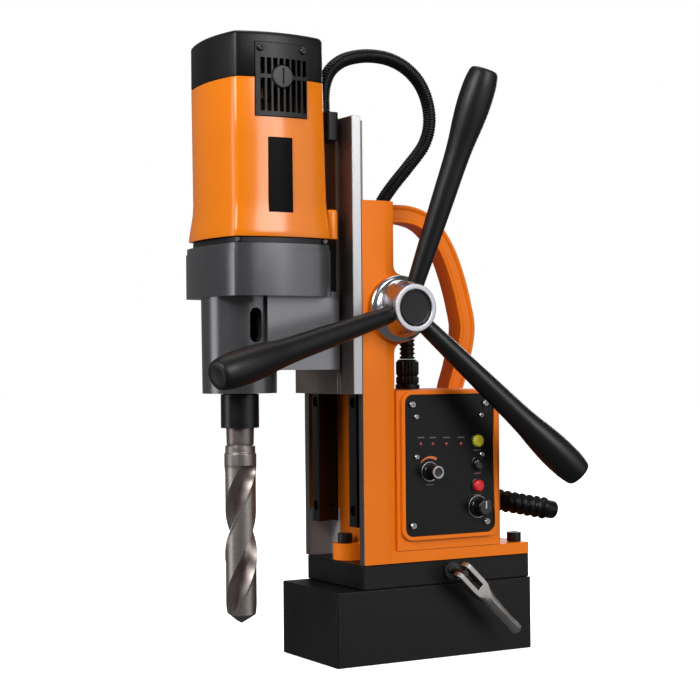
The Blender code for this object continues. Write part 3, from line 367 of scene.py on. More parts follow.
@dataclass(frozen=True)
class Moulded(Finish):
    """Moulded plastic or rubber with a fine spark-eroded grain and soft scuffs."""

    grain: float = 1700.0
    depth: float = 0.00002
    scuff: float = 0.35
    coat: float = 0.0
    specular: float = 0.3

    def paint(self, graph: Graph) -> None:
        """Fill in the graph."""
        at = graph.place()
        grain = graph.noise(at, self.grain, 2.0, 0.6)
        cloud = graph.noise(at, 30.0, 4.0)
        streak = graph.noise(graph.stretched((260.0, 60.0, 900.0), (0.4, 0.2, 0.9)), 1.0, 6.0)
        scratch = graph.ramp(streak, [(0.64, 0.0), (0.72, 1.0)])
        colour = graph.blend(cloud, self.tone(0.8), self.tone(1.25))
        colour = graph.blend(scratch * self.scuff * 0.3, colour, self.tone(3.0))
        rough = self.rough + 0.16 * (grain - 0.5) + 0.14 * (cloud - 0.5) - 0.1 * self.scuff * scratch
        graph.set(Base_Color=colour, Roughness=rough, Coat_Weight=self.coat, Coat_Roughness=0.1,
                  Specular_IOR_Level=self.specular, Normal=graph.bump(grain, self.depth))


@dataclass(frozen=True)
class Machined(Finish):
    """Bare metal with tool marks along one direction, slight stains and, if asked, brighter sides."""

    lines: Point = (40.0, 40.0, 3000.0)
    turn: Point = (0.0, 0.0, 0.0)
    depth: float = 0.000012
    metallic: float = 1.0
    contrast: float = 0.35
    side_rough: float = 0.0
    side_from: float = 43.31

    def paint(self, graph: Graph) -> None:
        """Fill in the graph."""
        at = graph.place()
        marks = graph.noise(graph.stretched(self.lines, self.turn), 1.0, 5.0, 0.65)
        stain = graph.noise(at, 60.0, 4.0)
        pits = graph.ramp(graph.noise(at, 1300.0, 1.0), [(0.72, 0.0), (0.8, 1.0)])
        low, high = self.tone(1.0 - self.contrast), self.tone(1.0 + self.contrast)
        colour = graph.blend(marks * 0.7 + stain * 0.3, low, high)
        colour = graph.blend(pits * 0.3, colour, self.tone(0.4))
        rough = self.rough + 0.22 * (marks - 0.5) + 0.12 * (stain - 0.5)
        if self.side_rough > 0.0:
            side = graph.past(abs(graph.axis(0)), self.side_from, 0.11)
            bright = graph.blend(marks, (0.27, 0.27, 0.28), (0.40, 0.40, 0.415))
            colour = graph.blend(side, colour, bright)
            rough = rough + side * (self.side_rough - self.rough)
        graph.set(Base_Color=colour, Roughness=rough, Metallic=self.metallic,
                  Normal=graph.bump(marks + 0.5 * pits, self.depth))


@dataclass(frozen=True)
class Gunmetal(Finish):
    """Dark grey metal-flake enamel over cast aluminium, a little paler on the sides of the neck."""

    neck_side: float = 27.55
    neck_top: float = 257.0

    def paint(self, graph: Graph) -> None:
        """Fill in the graph."""
        at = graph.place()
        cast = graph.noise(at, 240.0, 4.0, 0.6)
        flake = graph.noise(at, 3200.0, 1.0)
        cloud = graph.noise(at, 14.0, 3.0)
        glint = graph.ramp(flake, [(0.55, 0.0), (0.72, 1.0)])
        colour = graph.blend(cloud, self.tone(0.85), self.tone(1.15))
        colour = graph.blend(glint * 0.14, colour, self.tone(2.0))
        below = 1.0 - graph.past(graph.axis(2), self.neck_top, 1.0)
        neck = graph.past(abs(graph.axis(0)), self.neck_side, 0.25) * below
        colour = graph.blend(neck, colour, self.tone(1.7))
        rough = self.rough + 0.04 * (cast - 0.5) + 0.04 * (flake - 0.5) + 0.08 * (cloud - 0.5)
        graph.set(Base_Color=colour, Roughness=rough, Metallic=0.72, Coat_Weight=0.18,
                  Coat_Roughness=0.22, Normal=graph.bump(cast + 0.2 * flake, 0.000006))


@dataclass(frozen=True)
class GroundDrill(Finish):
    """Ground tool steel: fine marks round the axis, and darker colour in the flutes."""

    axis_at: Flat = (0.0, -136.0)
    land: float = 11.0
    shank_from: float = 141.5

    def paint(self, graph: Graph) -> None:
        """Fill in the graph."""
        at = graph.place()
        across = graph.axis(0) - self.axis_at[0]
        along = graph.axis(1) - self.axis_at[1]
        radius = graph.node("ShaderNodeMath", {"operation": "SQRT"}, {0: across * across + along * along})
        flute = 1.0 - graph.step(radius, self.land - 3.4, self.land - 0.2)
        lines = graph.noise(graph.stretched((60.0, 60.0, 2600.0)), 1.0, 4.0, 0.7)
        stain = graph.noise(graph.stretched((110.0, 110.0, 45.0)), 1.0, 5.0, 0.6)
        spot = graph.ramp(graph.noise(at, 700.0, 3.0), [(0.6, 0.0), (0.78, 1.0)])
        land_colour = graph.blend(lines, self.tone(0.8), self.tone(1.5))
        flute_colour = graph.blend(stain, (0.040, 0.030, 0.027), (0.36, 0.30, 0.28))
        colour = graph.blend(flute, land_colour, flute_colour)
        shank = graph.past(graph.axis(2), self.shank_from)
        shank_colour = graph.blend(stain, (0.03, 0.022, 0.02), (0.30, 0.26, 0.25))
        colour = graph.blend(shank * 0.8, colour, shank_colour)
        colour = graph.blend(spot * 0.5, colour, (0.05, 0.038, 0.032))
        rough = self.rough + 0.2 * (lines - 0.5) + 0.22 * (stain - 0.5) + 0.06 * flute
        graph.set(Base_Color=colour, Roughness=rough, Metallic=0.92,
                  Normal=graph.bump(lines + 0.4 * stain, 0.00003))


@dataclass(frozen=True)
class Mirror(Finish):
    """Plated or polished metal with a thin haze of smudges."""

    def paint(self, graph: Graph) -> None:
        """Fill in the graph."""
        at = graph.place()
        smudge = graph.noise(at, 120.0, 5.0, 0.6)
        hair = graph.noise(graph.stretched((2600.0, 70.0, 70.0)), 1.0, 4.0)
        colour = graph.blend(smudge, self.tone(0.92), self.colour)
        rough = self.rough + 0.04 * (smudge - 0.5) + 0.03 * (hair - 0.5)
        graph.set(Base_Color=colour, Roughness=rough, Metallic=1.0,
                  Normal=graph.bump(hair, 0.0000008))


@dataclass(frozen=True)
class Glow(Finish):
    """Small signal lens with a faint inner light."""

    strength: float = 0.3

    def paint(self, graph: Graph) -> None:
        """Fill in the graph."""
        speck = graph.noise(graph.place(), 900.0, 2.0)
        colour = graph.blend(speck, self.tone(0.7), self.tone(1.2))
        graph.set(Base_Color=colour, Roughness=0.15 + 0.1 * speck, Emission_Color=colour, Coat_Weight=0.5)
        graph.shader.inputs["Emission Strength"].default_value = self.strength


ORANGE_CAST = CastEnamel("orange_cast_enamel", (0.76, 0.165, 0.0035), 0.38, 0.00004, 0.03, 0.16)
ORANGE_SHELL = Enamel("orange_shell_gloss", (0.70, 0.172, 0.0016), 0.20, 0.000008, 0.20, 0.32)
BLACK_COAT = TexturedPaint("black_powder_coat", (0.0032, 0.0032, 0.0036), 0.40)
BLACK_CAP = Moulded("black_cap_plastic", (0.0042, 0.0042, 0.0047), 0.38, 1500.0, 0.00003, 0.3,
                    specular=0.22)
BLACK_GRIP = Moulded("black_grip_plastic", (0.0036, 0.0036, 0.0040), 0.40, 1300.0, 0.00003,
                     0.9, specular=0.27)
BLACK_RUBBER = Moulded("black_rubber", (0.0022, 0.0022, 0.0026), 0.38, 2000.0, 0.00002, 0.2, specular=0.18)
BLACK_GLOSS = Moulded("black_gloss_plastic", (0.005, 0.005, 0.0055), 0.24, 2500.0, 0.000004, 0.3, 0.2)
PANEL_FILM = Moulded("panel_film", (0.0036, 0.0040, 0.0045), 0.30, 3000.0, 0.000006, 0.4, specular=0.14)
LABEL_FILM = Moulded("label_film", (0.0010, 0.0008, 0.0009), 0.30, 3000.0, 0.000003, 0.1, specular=0.03)
DISC_GREY = Moulded("brush_disc_grey", (0.028, 0.028, 0.03), 0.44, 900.0, 0.00008, 0.3)
GUNMETAL = Gunmetal("gunmetal_enamel", (0.098, 0.098, 0.105), 0.24)
SLIDE_STEEL = Machined("slide_ground_steel", (0.24, 0.195, 0.185), 0.42, (60.0, 60.0, 8.0),
                       contrast=0.3, side_rough=0.34)
RAIL_STEEL = Machined("rail_dark_steel", (0.040, 0.039, 0.040), 0.34, (2200.0, 900.0, 14.0))
BARE_STEEL = Machined("bare_turned_steel", (0.48, 0.48, 0.49), 0.28)
BOLT_STEEL = Machined("blackened_steel", (0.016, 0.016, 0.017), 0.38, metallic=0.7)
SPINDLE_STEEL = Machined("spindle_black_steel", (0.024, 0.024, 0.026), 0.30, (60.0, 60.0,
                         900.0), depth=0.000003,
                         metallic=0.85, contrast=0.15)
LEVER_STEEL = Machined("lever_brushed_steel", (0.34, 0.32, 0.31), 0.34, (2400.0, 60.0, 60.0),
                       (0.78, 0.0, 0.0))
STUD_STEEL = Machined("stud_dark_steel", (0.055, 0.052, 0.05), 0.4, (2200.0, 60.0, 60.0))
RING_ALUMINIUM = Machined("ring_satin_aluminium", (0.40, 0.40, 0.43), 0.44, (60.0, 900.0,
                          900.0), contrast=0.08)
BRONZE = Machined("bush_bronze", (0.42, 0.25, 0.10), 0.36, (2200.0, 60.0, 60.0))
COPPER = Machined("winding_copper", (0.11, 0.045, 0.022), 0.42, (60.0, 60.0, 2400.0))
STEEL_SCREW = Machined("screw_zinc", (0.34, 0.34, 0.35), 0.34, (900.0, 900.0, 900.0), contrast=0.2)
KNOB_RIM = Machined("knob_rim_steel", (0.26, 0.26, 0.27), 0.3, (900.0, 900.0, 900.0), contrast=0.15)
CHROME = Mirror("hub_chrome", (0.46, 0.46, 0.48), 0.20)
DRILL_STEEL = GroundDrill("drill_ground_steel", (0.23, 0.205, 0.19), 0.40)
YELLOW = Moulded("button_yellow", (0.50, 0.46, 0.02), 0.34, 1500.0, 0.00001, 0.2, 0.2)
RED = Moulded("button_red", (0.55, 0.010, 0.016), 0.34, 1500.0, 0.00001, 0.2, 0.2)
MARK_ORANGE = Moulded("print_orange", (0.55, 0.13, 0.03), 0.4, 2500.0, 0.000003)
MARK_GREY = Moulded("print_grey", (0.16, 0.10, 0.085), 0.45, 2500.0, 0.000003)
BOARD_GREEN = Moulded("board_green", (0.02, 0.12, 0.04), 0.35, 700.0, 0.00002)
RESIN = Moulded("coil_resin", (0.16, 0.05, 0.03), 0.4, 900.0, 0.00004)
LAMP = Glow("signal_lens", (0.22, 0.02, 0.018), strength=0.1)


# ------------------------------------------------------------------ mesh tools
def softened(profile: Sequence[Flat], radius: float, steps: int = 3) -> List[Flat]:
    """Round the inner corners of an open profile.

    Args:
        profile: Points in order.
        radius: Distance from each corner at which its curve starts.
        steps: Pieces of each curve.

    Returns:
        The new points.
    """
    points = [Vector(point) for point in profile]
    result = [points[0]]
    for before, corner, after in zip(points, points[1:], points[2:]):
        reach_in = min(radius, (before - corner).length * 0.45)
        reach_out = min(radius, (after - corner).length * 0.45)
        start = corner + (before - corner).normalized() * reach_in
        end = corner + (after - corner).normalized() * reach_out
        for step in range(steps + 1):
            t = step / steps
            result.append(start * (1 - t) ** 2 + corner * (2 * t * (1 - t)) + end * t ** 2)
    result.append(points[-1])
    return [(point[0], point[1]) for point in result]


def ring_softened(outline: Sequence[Flat], radius: float, steps: int = 3) -> List[Flat]:
    """Round every corner of a closed outline."""
    closed = [outline[-1], *outline, outline[0]]
    return softened(closed, radius, steps)[1:-1]


def smooth_profile(points: Sequence[Flat], steps: int = 5) -> List[Flat]:
    """Open Catmull-Rom curve through the points."""
    route = [Vector((*point, 0.0)) for point in points]
    return [(point.x, point.y) for point in smooth_route(route, steps)]


def smooth_route(points: Sequence[Vector], steps: int = 8) -> List[Vector]:
    """Catmull-Rom curve through points in space, with the given steps to each span."""
    route = [Vector(point) for point in points]
    route = [2 * route[0] - route[1], *route, 2 * route[-1] - route[-2]]
    result = []
    for a, b, c, d in zip(route, route[1:], route[2:], route[3:]):
        for step in range(steps):
            t = step / steps
            result.append(0.5 * (2 * b + (c - a) * t + (2 * a - 5 * b + 4 * c - d) * t ** 2
                                 + (3 * b - a - 3 * c + d) * t ** 3))
    result.append(route[-2])
    return result


def frame_at(centre: Sequence[float], along: Sequence[float], side: Sequence[float]) -> Matrix:
    """Matrix at a centre whose z runs along a direction and whose x is near side."""
    w, guess = Vector(along).normalized(), Vector(side)
    u = (guess - w * guess.dot(w)).normalized()
    turn = Matrix((u, w.cross(u), w)).transposed().to_4x4()
    return Matrix.Translation(Vector(centre)) @ turn


def skin(bm: bmesh.types.BMesh, rings: Sequence[Sequence[Vector]], joined: bool = False) -> None:
    """Skin equal-length rings; cap both ends, or join the ends."""
    verts = [[bm.verts.new(point) for point in ring] for ring in rings]
    for index in range(len(verts) if joined else len(verts) - 1):
        low, high = verts[index], verts[(index + 1) % len(verts)]
        for side, vert in enumerate(low):
            following = (side + 1) % len(low)
            bm.faces.new((vert, low[following], high[following], high[side]))
    if not joined:
        bm.faces.new(verts[0][::-1])
        bm.faces.new(verts[-1])


@dataclass(frozen=True)
class Knurl:
    """Round notches in a rim, between two heights."""

    count: int = 0
    depth: float = 0.0
    low: float = 0.0
    high: float = 0.0

    def cut(self, radius: float, height: float, angle: float) -> float:
        """Radius that the notches leave."""
        if not self.low <= height <= self.high:
            return radius
        return radius - self.depth * (0.5 - 0.5 * math.cos(self.count * angle)) ** 2


def turned(bm: bmesh.types.BMesh, place: Matrix, profile: Sequence[Flat], steps: int = 64,
           joined: bool = False, knurl: Knurl = Knurl()) -> None:
    """Turn a profile of (radius, height) about a matrix's z axis.

    Args:
        bm: Mesh to add to.
        place: Where the axis stands.
        profile: Points from one end of the axis to the other, or a closed section when joined.
        steps: Sides of the turned shape.
        joined: True for a closed section, which leaves a hole.
        knurl: Notches round the rim.
    """
    def point(radius: float, height: float, angle: float) -> Vector:
        """Point of the turned shape."""
        radius = knurl.cut(radius, height, angle)
        return place @ Vector((radius * math.cos(angle), radius * math.sin(angle), height))

    angles = [TAU * index / steps for index in range(steps)]
    if joined:
        skin(bm, [[point(r, h, a) for r, h in profile] for a in angles], True)
    else:
        skin(bm, [[point(r, h, a) for a in angles] for r, h in profile])


def prism(bm: bmesh.types.BMesh, place: Matrix, outline: Sequence[Flat], low: float, high: float) -> None:
    """Extrude an outline along a matrix's z axis."""
    skin(bm, [[place @ Vector((u, v, height)) for u, v in outline] for height in (low, high)])


def block(bm: bmesh.types.BMesh, low: Sequence[float], high: Sequence[float]) -> None:
    """Add a box between two corners, for cutters and small print marks."""
    middle = [(a + b) / 2 for a, b in zip(low, high)]
    size = [b - a for a, b in zip(low, high)]
    bmesh.ops.create_cube(bm, size=1.0, matrix=Matrix.Translation(middle) @ Matrix.Diagonal((*size, 1.0)))


SIDE_BOW, END_BOW = 6.0, 5.0


def pillow(half: float, front: float, rear: float, z: float, inset: float = 0.0) -> List[Vector]:
    """Ring of four bowed sides that meet in tight round corners, counter-clockwise.

    Args:
        half: Half width between the bowed sides' ends.
        front: Place of the front side's ends.
        rear: Place of the rear side's ends.
        z: Height of the ring.
        inset: How far every side is drawn in.

    Returns:
        The points of the ring.
    """
    steps, trim = 20, 0.03
    half, front, rear = half - inset, front + inset, rear - inset
    corners = [(-half, front), (half, front), (half, rear), (-half, rear)]
    outward = [(0, -END_BOW), (SIDE_BOW, 0), (0, END_BOW), (-SIDE_BOW, 0)]
    sides = []
    for side in range(4):
        (x0, y0), (x1, y1) = corners[side], corners[(side + 1) % 4]
        points = []
        for step in range(steps + 1):
            t = trim + (1 - 2 * trim) * step / steps
            swell = 4 * t * (1 - t)
            points.append((x0 + (x1 - x0) * t + outward[side][0] * swell,
                           y0 + (y1 - y0) * t + outward[side][1] * swell))
        sides.append(points)
    outline = []
    for side, points in enumerate(sides):
        end, start = Vector(points[-1]), Vector(sides[(side + 1) % 4][0])
        pivot = Vector(corners[(side + 1) % 4]) * 0.8 + (end + start) * 0.1
        outline += points
        for t in (0.25, 0.5, 0.75):
            outline.append(tuple(end * (1 - t) ** 2 + pivot * (2 * t * (1 - t)) + start * t ** 2))
    return [Vector((x, y, z)) for x, y in outline]


def metric_mesh(bm: bmesh.types.BMesh, name: str) -> bpy.types.Mesh:
    """Mesh in metres, with its faces outward, from one in millimetres, which is freed."""
    bmesh.ops.recalc_face_normals(bm, faces=bm.faces)
    bm.transform(Matrix.Scale(MM, 4))
    mesh = bpy.data.meshes.new(name)
    bm.to_mesh(mesh)
    bm.free()
    return mesh


@dataclass
class Piece:
    """A visible piece on its way to the scene, made in millimetres."""

    name: str
    finish: Finish
    body: Body
    slot: str
    stands_for: Tuple[str, ...] = ()
    angle: float = 32.0

    def add(self, bm: bmesh.types.BMesh) -> bpy.types.Object:
        """Turn a mesh in millimetres into the finished piece.

        Args:
            bm: The mesh, which is freed.

        Returns:
            The object, which rides on its body.
        """
        return self.wear(metric_mesh(bm, self.name))

    def turn(self, place: Matrix, profile: Sequence[Flat], steps: int = 64, joined: bool = False,
             knurl: Knurl = Knurl()) -> bpy.types.Object:
        """Make the piece by turning a profile; the arguments are those of turned."""
        bm = bmesh.new()
        turned(bm, place, profile, steps, joined, knurl)
        return self.add(bm)

    def cover(self, rings: Sequence[Sequence[Vector]]) -> bpy.types.Object:
        """Make the piece by skinning rings, with both ends capped."""
        bm = bmesh.new()
        skin(bm, rings)
        return self.add(bm)

    def wear(self, mesh: bpy.types.Mesh, shade: bool = True) -> bpy.types.Object:
        """Give a mesh in metres its finish, its object and its body."""
        mesh.materials.clear()
        mesh.materials.append(self.finish.build())
        if shade:
            mesh.shade_smooth()
            mesh.set_sharp_from_angle(angle=math.radians(self.angle))
        obj = bpy.data.objects.new(self.name, mesh)
        bpy.context.scene.collection.objects.link(obj)
        return self.join(obj)

    def join(self, obj: bpy.types.Object) -> bpy.types.Object:
        """Tie an object to its body and the nodes that it stands for."""
        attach(obj, self.body.value)
        if self.stands_for:
            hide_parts(*self.stands_for)
        LOG.info("%s: %d faces", obj.name, len(obj.data.polygons) if obj.type == "MESH" else 0)
        return obj


def applied(obj: bpy.types.Object) -> bpy.types.Mesh:
    """Mesh of an object with its modifiers applied, and the modifiers removed."""
    bpy.context.view_layer.update()
    evaluated = obj.evaluated_get(bpy.context.evaluated_depsgraph_get())
    mesh = bpy.data.meshes.new_from_object(evaluated)
    obj.modifiers.clear()
    return mesh


def temporary(mesh: bpy.types.Mesh) -> bpy.types.Object:
    """Object that carries a mesh while modifiers work on it."""
    obj = bpy.data.objects.new("temporary", mesh)
    bpy.context.scene.collection.objects.link(obj)
    return obj


def carved(mesh: bpy.types.Mesh, cutter: bmesh.types.BMesh, operation: str = "DIFFERENCE") -> bpy.types.Mesh:
    """Boolean of a mesh in metres with a cutter in millimetres.

    Args:
        mesh: Mesh to cut.
        cutter: Cutting shape, which is freed.
        operation: DIFFERENCE or UNION.

    Returns:
        The new mesh.
    """
    carrier, tool = temporary(mesh), temporary(metric_mesh(cutter, "tool"))
    step = carrier.modifiers.new("cut", "BOOLEAN")
    step.operation, step.object = operation, tool
    result = applied(carrier)
    for obj in (carrier, tool):
        bpy.data.objects.remove(obj)
    return result


def rounded_edges(mesh: bpy.types.Mesh, width: float, segments: int) -> bpy.types.Mesh:
    """Round the sharp edges of a mesh, with even shading on the faces between them."""
    carrier = temporary(mesh)
    bevel = carrier.modifiers.new("edge", "BEVEL")
    bevel.width, bevel.segments = width * MM, segments
    bevel.limit_method, bevel.angle_limit = "ANGLE", CREASE
    bevel.use_clamp_overlap, bevel.miter_outer = True, "MITER_ARC"
    even = carrier.modifiers.new("even", "WEIGHTED_NORMAL")
    even.keep_sharp = True
    result = applied(carrier)
    bpy.data.objects.remove(carrier)
    return result


NODES: Dict[str, bpy.types.Object] = {}
WELD_DISTANCE = 0.000004
FLAT_WITHIN = math.radians(0.6)
CREASE = math.radians(34.0)


def node_mesh(node: str) -> bpy.types.Mesh:
    """Copy of a CAD node's mesh with its loose triangles merged and its flats cleaned."""
    bm = bmesh.new()
    bm.from_mesh(NODES[node].data)
    bmesh.ops.remove_doubles(bm, verts=bm.verts, dist=WELD_DISTANCE)
    bmesh.ops.dissolve_limit(bm, angle_limit=FLAT_WITHIN, verts=bm.verts, edges=bm.edges)
    mesh = bpy.data.meshes.new(node + "_copy")
    bm.to_mesh(mesh)
    bm.free()
    for name in [layer.name for layer in mesh.attributes if layer.name in ("custom_normal", "sharp_face")]:
        mesh.attributes.remove(mesh.attributes[name])
    return mesh


def refined(node: str, finish: Finish, body: Body, slot: str, width: float = 0.5,
            segments: int = 2) -> bpy.types.Object:
    """Copy of a CAD node with its edges rounded.

    Args:
        node: CAD node to copy and stand for.
        finish: Finish of the piece.
        body: Body that it rides on.
        slot: Material slot of the record; it is kept on the piece and not used.
        width: Size of the rounded edges in millimetres.
        segments: Steps of each rounded edge.

    Returns:
        The piece.
    """
    mesh = node_mesh(node)
    mesh.shade_smooth()
    mesh.set_sharp_from_angle(angle=CREASE)
    mesh = rounded_edges(mesh, width, segments)
    return Piece(node + "_finished", finish, body, slot, (node,)).wear(mesh, shade=False)


def dress(finish: Finish, *nodes: str) -> None:
    """Give CAD nodes that stay visible their finish."""
    for node in nodes:
        slots = NODES[node].material_slots
        for slot in slots:
            slot.material = finish.build()
        if not slots:
            NODES[node].data.materials.append(finish.build())
        LOG.info("%s: dressed", node)


# ------------------------------------------------------------------ geometry trees
class GeometryTree:
    """A Geometry Nodes tree with named inputs, which ends in real geometry with a material."""

    def __init__(self, name: str) -> None:
        """Start a new node group with this name."""
        self.group = bpy.data.node_groups.new(name, "GeometryNodeTree")
        for way in ("INPUT", "OUTPUT"):
            self.group.interface.new_socket("Geometry", in_out=way, socket_type="NodeSocketGeometry")
        self.entry = self.group.nodes.new("NodeGroupInput")
        self.exit = self.group.nodes.new("NodeGroupOutput")

    def size(self, name: str, default: Union[float, int]) -> bpy.types.NodeSocket:
        """Add a named input and return its socket."""
        kind = "NodeSocketInt" if isinstance(default, int) else "NodeSocketFloat"
        self.group.interface.new_socket(name, in_out="INPUT", socket_type=kind).default_value = default
        return self.entry.outputs[name]

    def node(self, kind: str, settings: Dict[str, object], sockets: Dict[object, object],
             out: object = 0) -> bpy.types.NodeSocket:
        """Add a node with its settings and its inputs, and return one output."""
        made = self.group.nodes.new(kind)
        for key, value in settings.items():
            setattr(made, key, value)
        for key, value in sockets.items():
            if isinstance(value, bpy.types.NodeSocket):
                self.group.links.new(value, made.inputs[key])
            else:
                made.inputs[key].default_value = value
        return made.outputs[out]

    def math(self, operation: str, first: object, second: object = 0.0) -> bpy.types.NodeSocket:
        """Add a Math node."""
        return self.node("ShaderNodeMath", {"operation": operation}, {0: first, 1: second})

    def close(self, geometry: bpy.types.NodeSocket, finish: Finish) -> None:
        """End the tree with Realize Instances and Set Material."""
        real = self.node("GeometryNodeRealizeInstances", {}, {0: geometry})
        smooth = self.node("GeometryNodeSetShadeSmooth", {}, {0: real})
        dressed = self.node("GeometryNodeSetMaterial", {}, {"Geometry": smooth, "Material": finish.build()})
        self.group.links.new(dressed, self.exit.inputs[0])

    def run(self, carrier: bpy.types.Object, sizes: Dict[str, Union[float, int]]) -> bpy.types.Mesh:
        """Evaluate the tree on a carrier object and return its mesh; the carrier is removed."""
        modifier = carrier.modifiers.new(self.group.name, "NODES")
        modifier.node_group = self.group
        sockets = {item.name: item.identifier for item in self.group.interface.items_tree
                   if item.in_out == "INPUT"}
        for name, value in sizes.items():
            modifier[sockets[name]] = value
        mesh = applied(carrier)
        bpy.data.objects.remove(carrier)
        return mesh


def ribbed_tube_tree(name: str, finish: Finish) -> GeometryTree:
    """Tree that sweeps a tube along a curve, with round ribs at an even pitch."""
    tree = GeometryTree(name)
    radius, depth = tree.size("Radius", 0.005), tree.size("Rib Depth", 0.0005)
    pitch, sides = tree.size("Pitch", 0.003), tree.size("Sides", 20)
    gap = tree.math("DIVIDE", pitch, 6.0)
    curve = tree.node("GeometryNodeResampleCurve", {"mode": "LENGTH"},
                      {"Curve": tree.entry.outputs[0], "Length": gap})
    run = tree.node("GeometryNodeSplineParameter", {}, {}, "Length")
    phase = tree.math("MULTIPLY", tree.math("DIVIDE", run, pitch), TAU)
    wave = tree.math("SUBTRACT", tree.math("COSINE", phase), 1.0)
    swell = tree.math("ADD", radius, tree.math("MULTIPLY", wave, tree.math("MULTIPLY", depth, 0.5)))
    circle = tree.node("GeometryNodeCurvePrimitiveCircle", {"mode": "RADIUS"},
                       {"Resolution": sides, "Radius": 1.0})
    tube = tree.node("GeometryNodeCurveToMesh", {},
                     {"Curve": curve, "Profile Curve": circle, "Scale": swell, "Fill Caps": True})
    tree.close(tube, finish)
    return tree


def screw_tree(name: str, finish: Finish) -> GeometryTree:
    """Tree that sets a cross-recessed screw head on every point, facing the point's normal."""
    tree = GeometryTree(name)
    radius, height = tree.size("Head Radius", 0.0025), tree.size("Head Height", 0.0012)
    slot, sides = tree.size("Recess Width", 0.0007), tree.size("Sides", 24)
    rim = tree.node("GeometryNodeMeshCone", {}, {
        "Vertices": sides, "Radius Top": tree.math("MULTIPLY", radius, 0.72), "Radius Bottom": radius,
        "Depth": tree.math("MULTIPLY", height, 0.55)})
    rim = tree.node("GeometryNodeTransform", {}, {"Geometry": rim, "Translation": tree.node(
        "ShaderNodeCombineXYZ", {}, {"Z": tree.math("MULTIPLY", height, 0.45)})})
    foot = tree.node("GeometryNodeMeshCylinder", {}, {
        "Vertices": sides, "Radius": radius, "Depth": tree.math("MULTIPLY", height, 0.9)})
    cuts = []
    reach = tree.math("MULTIPLY", radius, 1.1)
    for pair in ((reach, slot), (slot, reach)):
        size = tree.node("ShaderNodeCombineXYZ", {}, {"X": pair[0], "Y": pair[1], "Z": height})
        bar = tree.node("GeometryNodeMeshCube", {}, {"Size": size})
        lift = tree.node("ShaderNodeCombineXYZ", {}, {"Z": tree.math("MULTIPLY", height, 1.05)})
        cuts.append(tree.node("GeometryNodeTransform", {}, {"Geometry": bar, "Translation": lift}))
    head = tree.node("GeometryNodeMeshBoolean", {"operation": "UNION"}, {"Mesh": rim})
    union = tree.group.nodes[-1]
    tree.group.links.new(foot, union.inputs["Mesh"])
    recessed = tree.node("GeometryNodeMeshBoolean", {"operation": "DIFFERENCE"}, {"Mesh 1": head})
    difference = tree.group.nodes[-1]
    for bar in cuts:
        tree.group.links.new(bar, difference.inputs["Mesh 2"])
    facing = tree.node("GeometryNodeInputNamedAttribute", {"data_type": "FLOAT_VECTOR"}, {"Name": "facing"})
    turn = tree.node("FunctionNodeAlignRotationToVector", {"axis": "Z"}, {"Vector": facing})
    placed = tree.node("GeometryNodeInstanceOnPoints", {}, {
        "Points": tree.entry.outputs[0], "Instance": recessed, "Rotation": turn})
    tree.close(placed, finish)
    return tree


def mark_row_tree(name: str, finish: Finish) -> GeometryTree:
    """Tree that lays a short printed bar on every point."""
    tree = GeometryTree(name)
    long, tall = tree.size("Length", 0.006), tree.size("Height", 0.0006)
    thick = tree.size("Thickness", 0.00008)
    size = tree.node("ShaderNodeCombineXYZ", {}, {"X": thick, "Y": long, "Z": tall})
    bar = tree.node("GeometryNodeMeshCube", {}, {"Size": size})
    placed = tree.node("GeometryNodeInstanceOnPoints", {}, {"Points": tree.entry.outputs[0], "Instance": bar})
    tree.close(placed, finish)
    return tree


def point_carrier(points: Sequence[Point], facing: Point = (0.0, 0.0, 1.0)) -> bpy.types.Object:
    """Object with a vertex at each point, in millimetres, all facing one way."""
    mesh = bpy.data.meshes.new("points")
    mesh.from_pydata([Vector(point) * MM for point in points], [], [])
    attribute = mesh.attributes.new("facing", "FLOAT_VECTOR", "POINT")
    for slot in attribute.data:
        slot.vector = facing
    return temporary(mesh)


def path_carrier(points: Sequence[Vector]) -> bpy.types.Object:
    """Curve object with one open spline through the points, in millimetres."""
    curve = bpy.data.curves.new("route", "CURVE")
    curve.dimensions = "3D"
    spline = curve.splines.new("POLY")
    spline.points.add(len(points) - 1)
    for slot, point in zip(spline.points, points):
        slot.co = (*(Vector(point) * MM), 1.0)
    obj = bpy.data.objects.new("route", curve)
    bpy.context.scene.collection.objects.link(obj)
    return obj


def fit_screws(piece: Piece, points: Sequence[Point], facing: Point, head: Point) -> None:
    """Make a group of cross-recessed screw heads.

    Args:
        piece: What the heads are together.
        points: Where they stand, in millimetres.
        facing: Direction that all of them face.
        head: Radius, height and width of the recess, in millimetres.
    """
    sizes = {"Head Radius": head[0] * MM, "Head Height": head[1] * MM, "Recess Width": head[2] * MM}
    piece.wear(screw_tree(piece.name, piece.finish).run(point_carrier(points, facing), sizes))


def print_bars(piece: Piece, points: Sequence[Point], long: float, tall: float) -> None:
    """Make a group of plain printed bars, with their length and height in millimetres."""
    sizes = {"Length": long * MM, "Height": tall * MM}
    piece.wear(mark_row_tree(piece.name, piece.finish).run(point_carrier(points), sizes))


# ------------------------------------------------------------------ sub-assemblies
@dataclass
class MagnetFoot:
    """Magnet block with its coil, and the swivel plate on top of it."""

    edge: float = 0.7

    def build(self) -> None:
        """Make the foot."""
        refined("magnet_body", BLACK_COAT, Body.MAGNET, "magnet_black", self.edge, 3)
        refined("swivel_plate", BLACK_COAT, Body.FRAME, "magnet_black", self.edge, 3)
        dress(RESIN, "magnet_coil")
        dress(BARE_STEEL, "swivel_pivot")


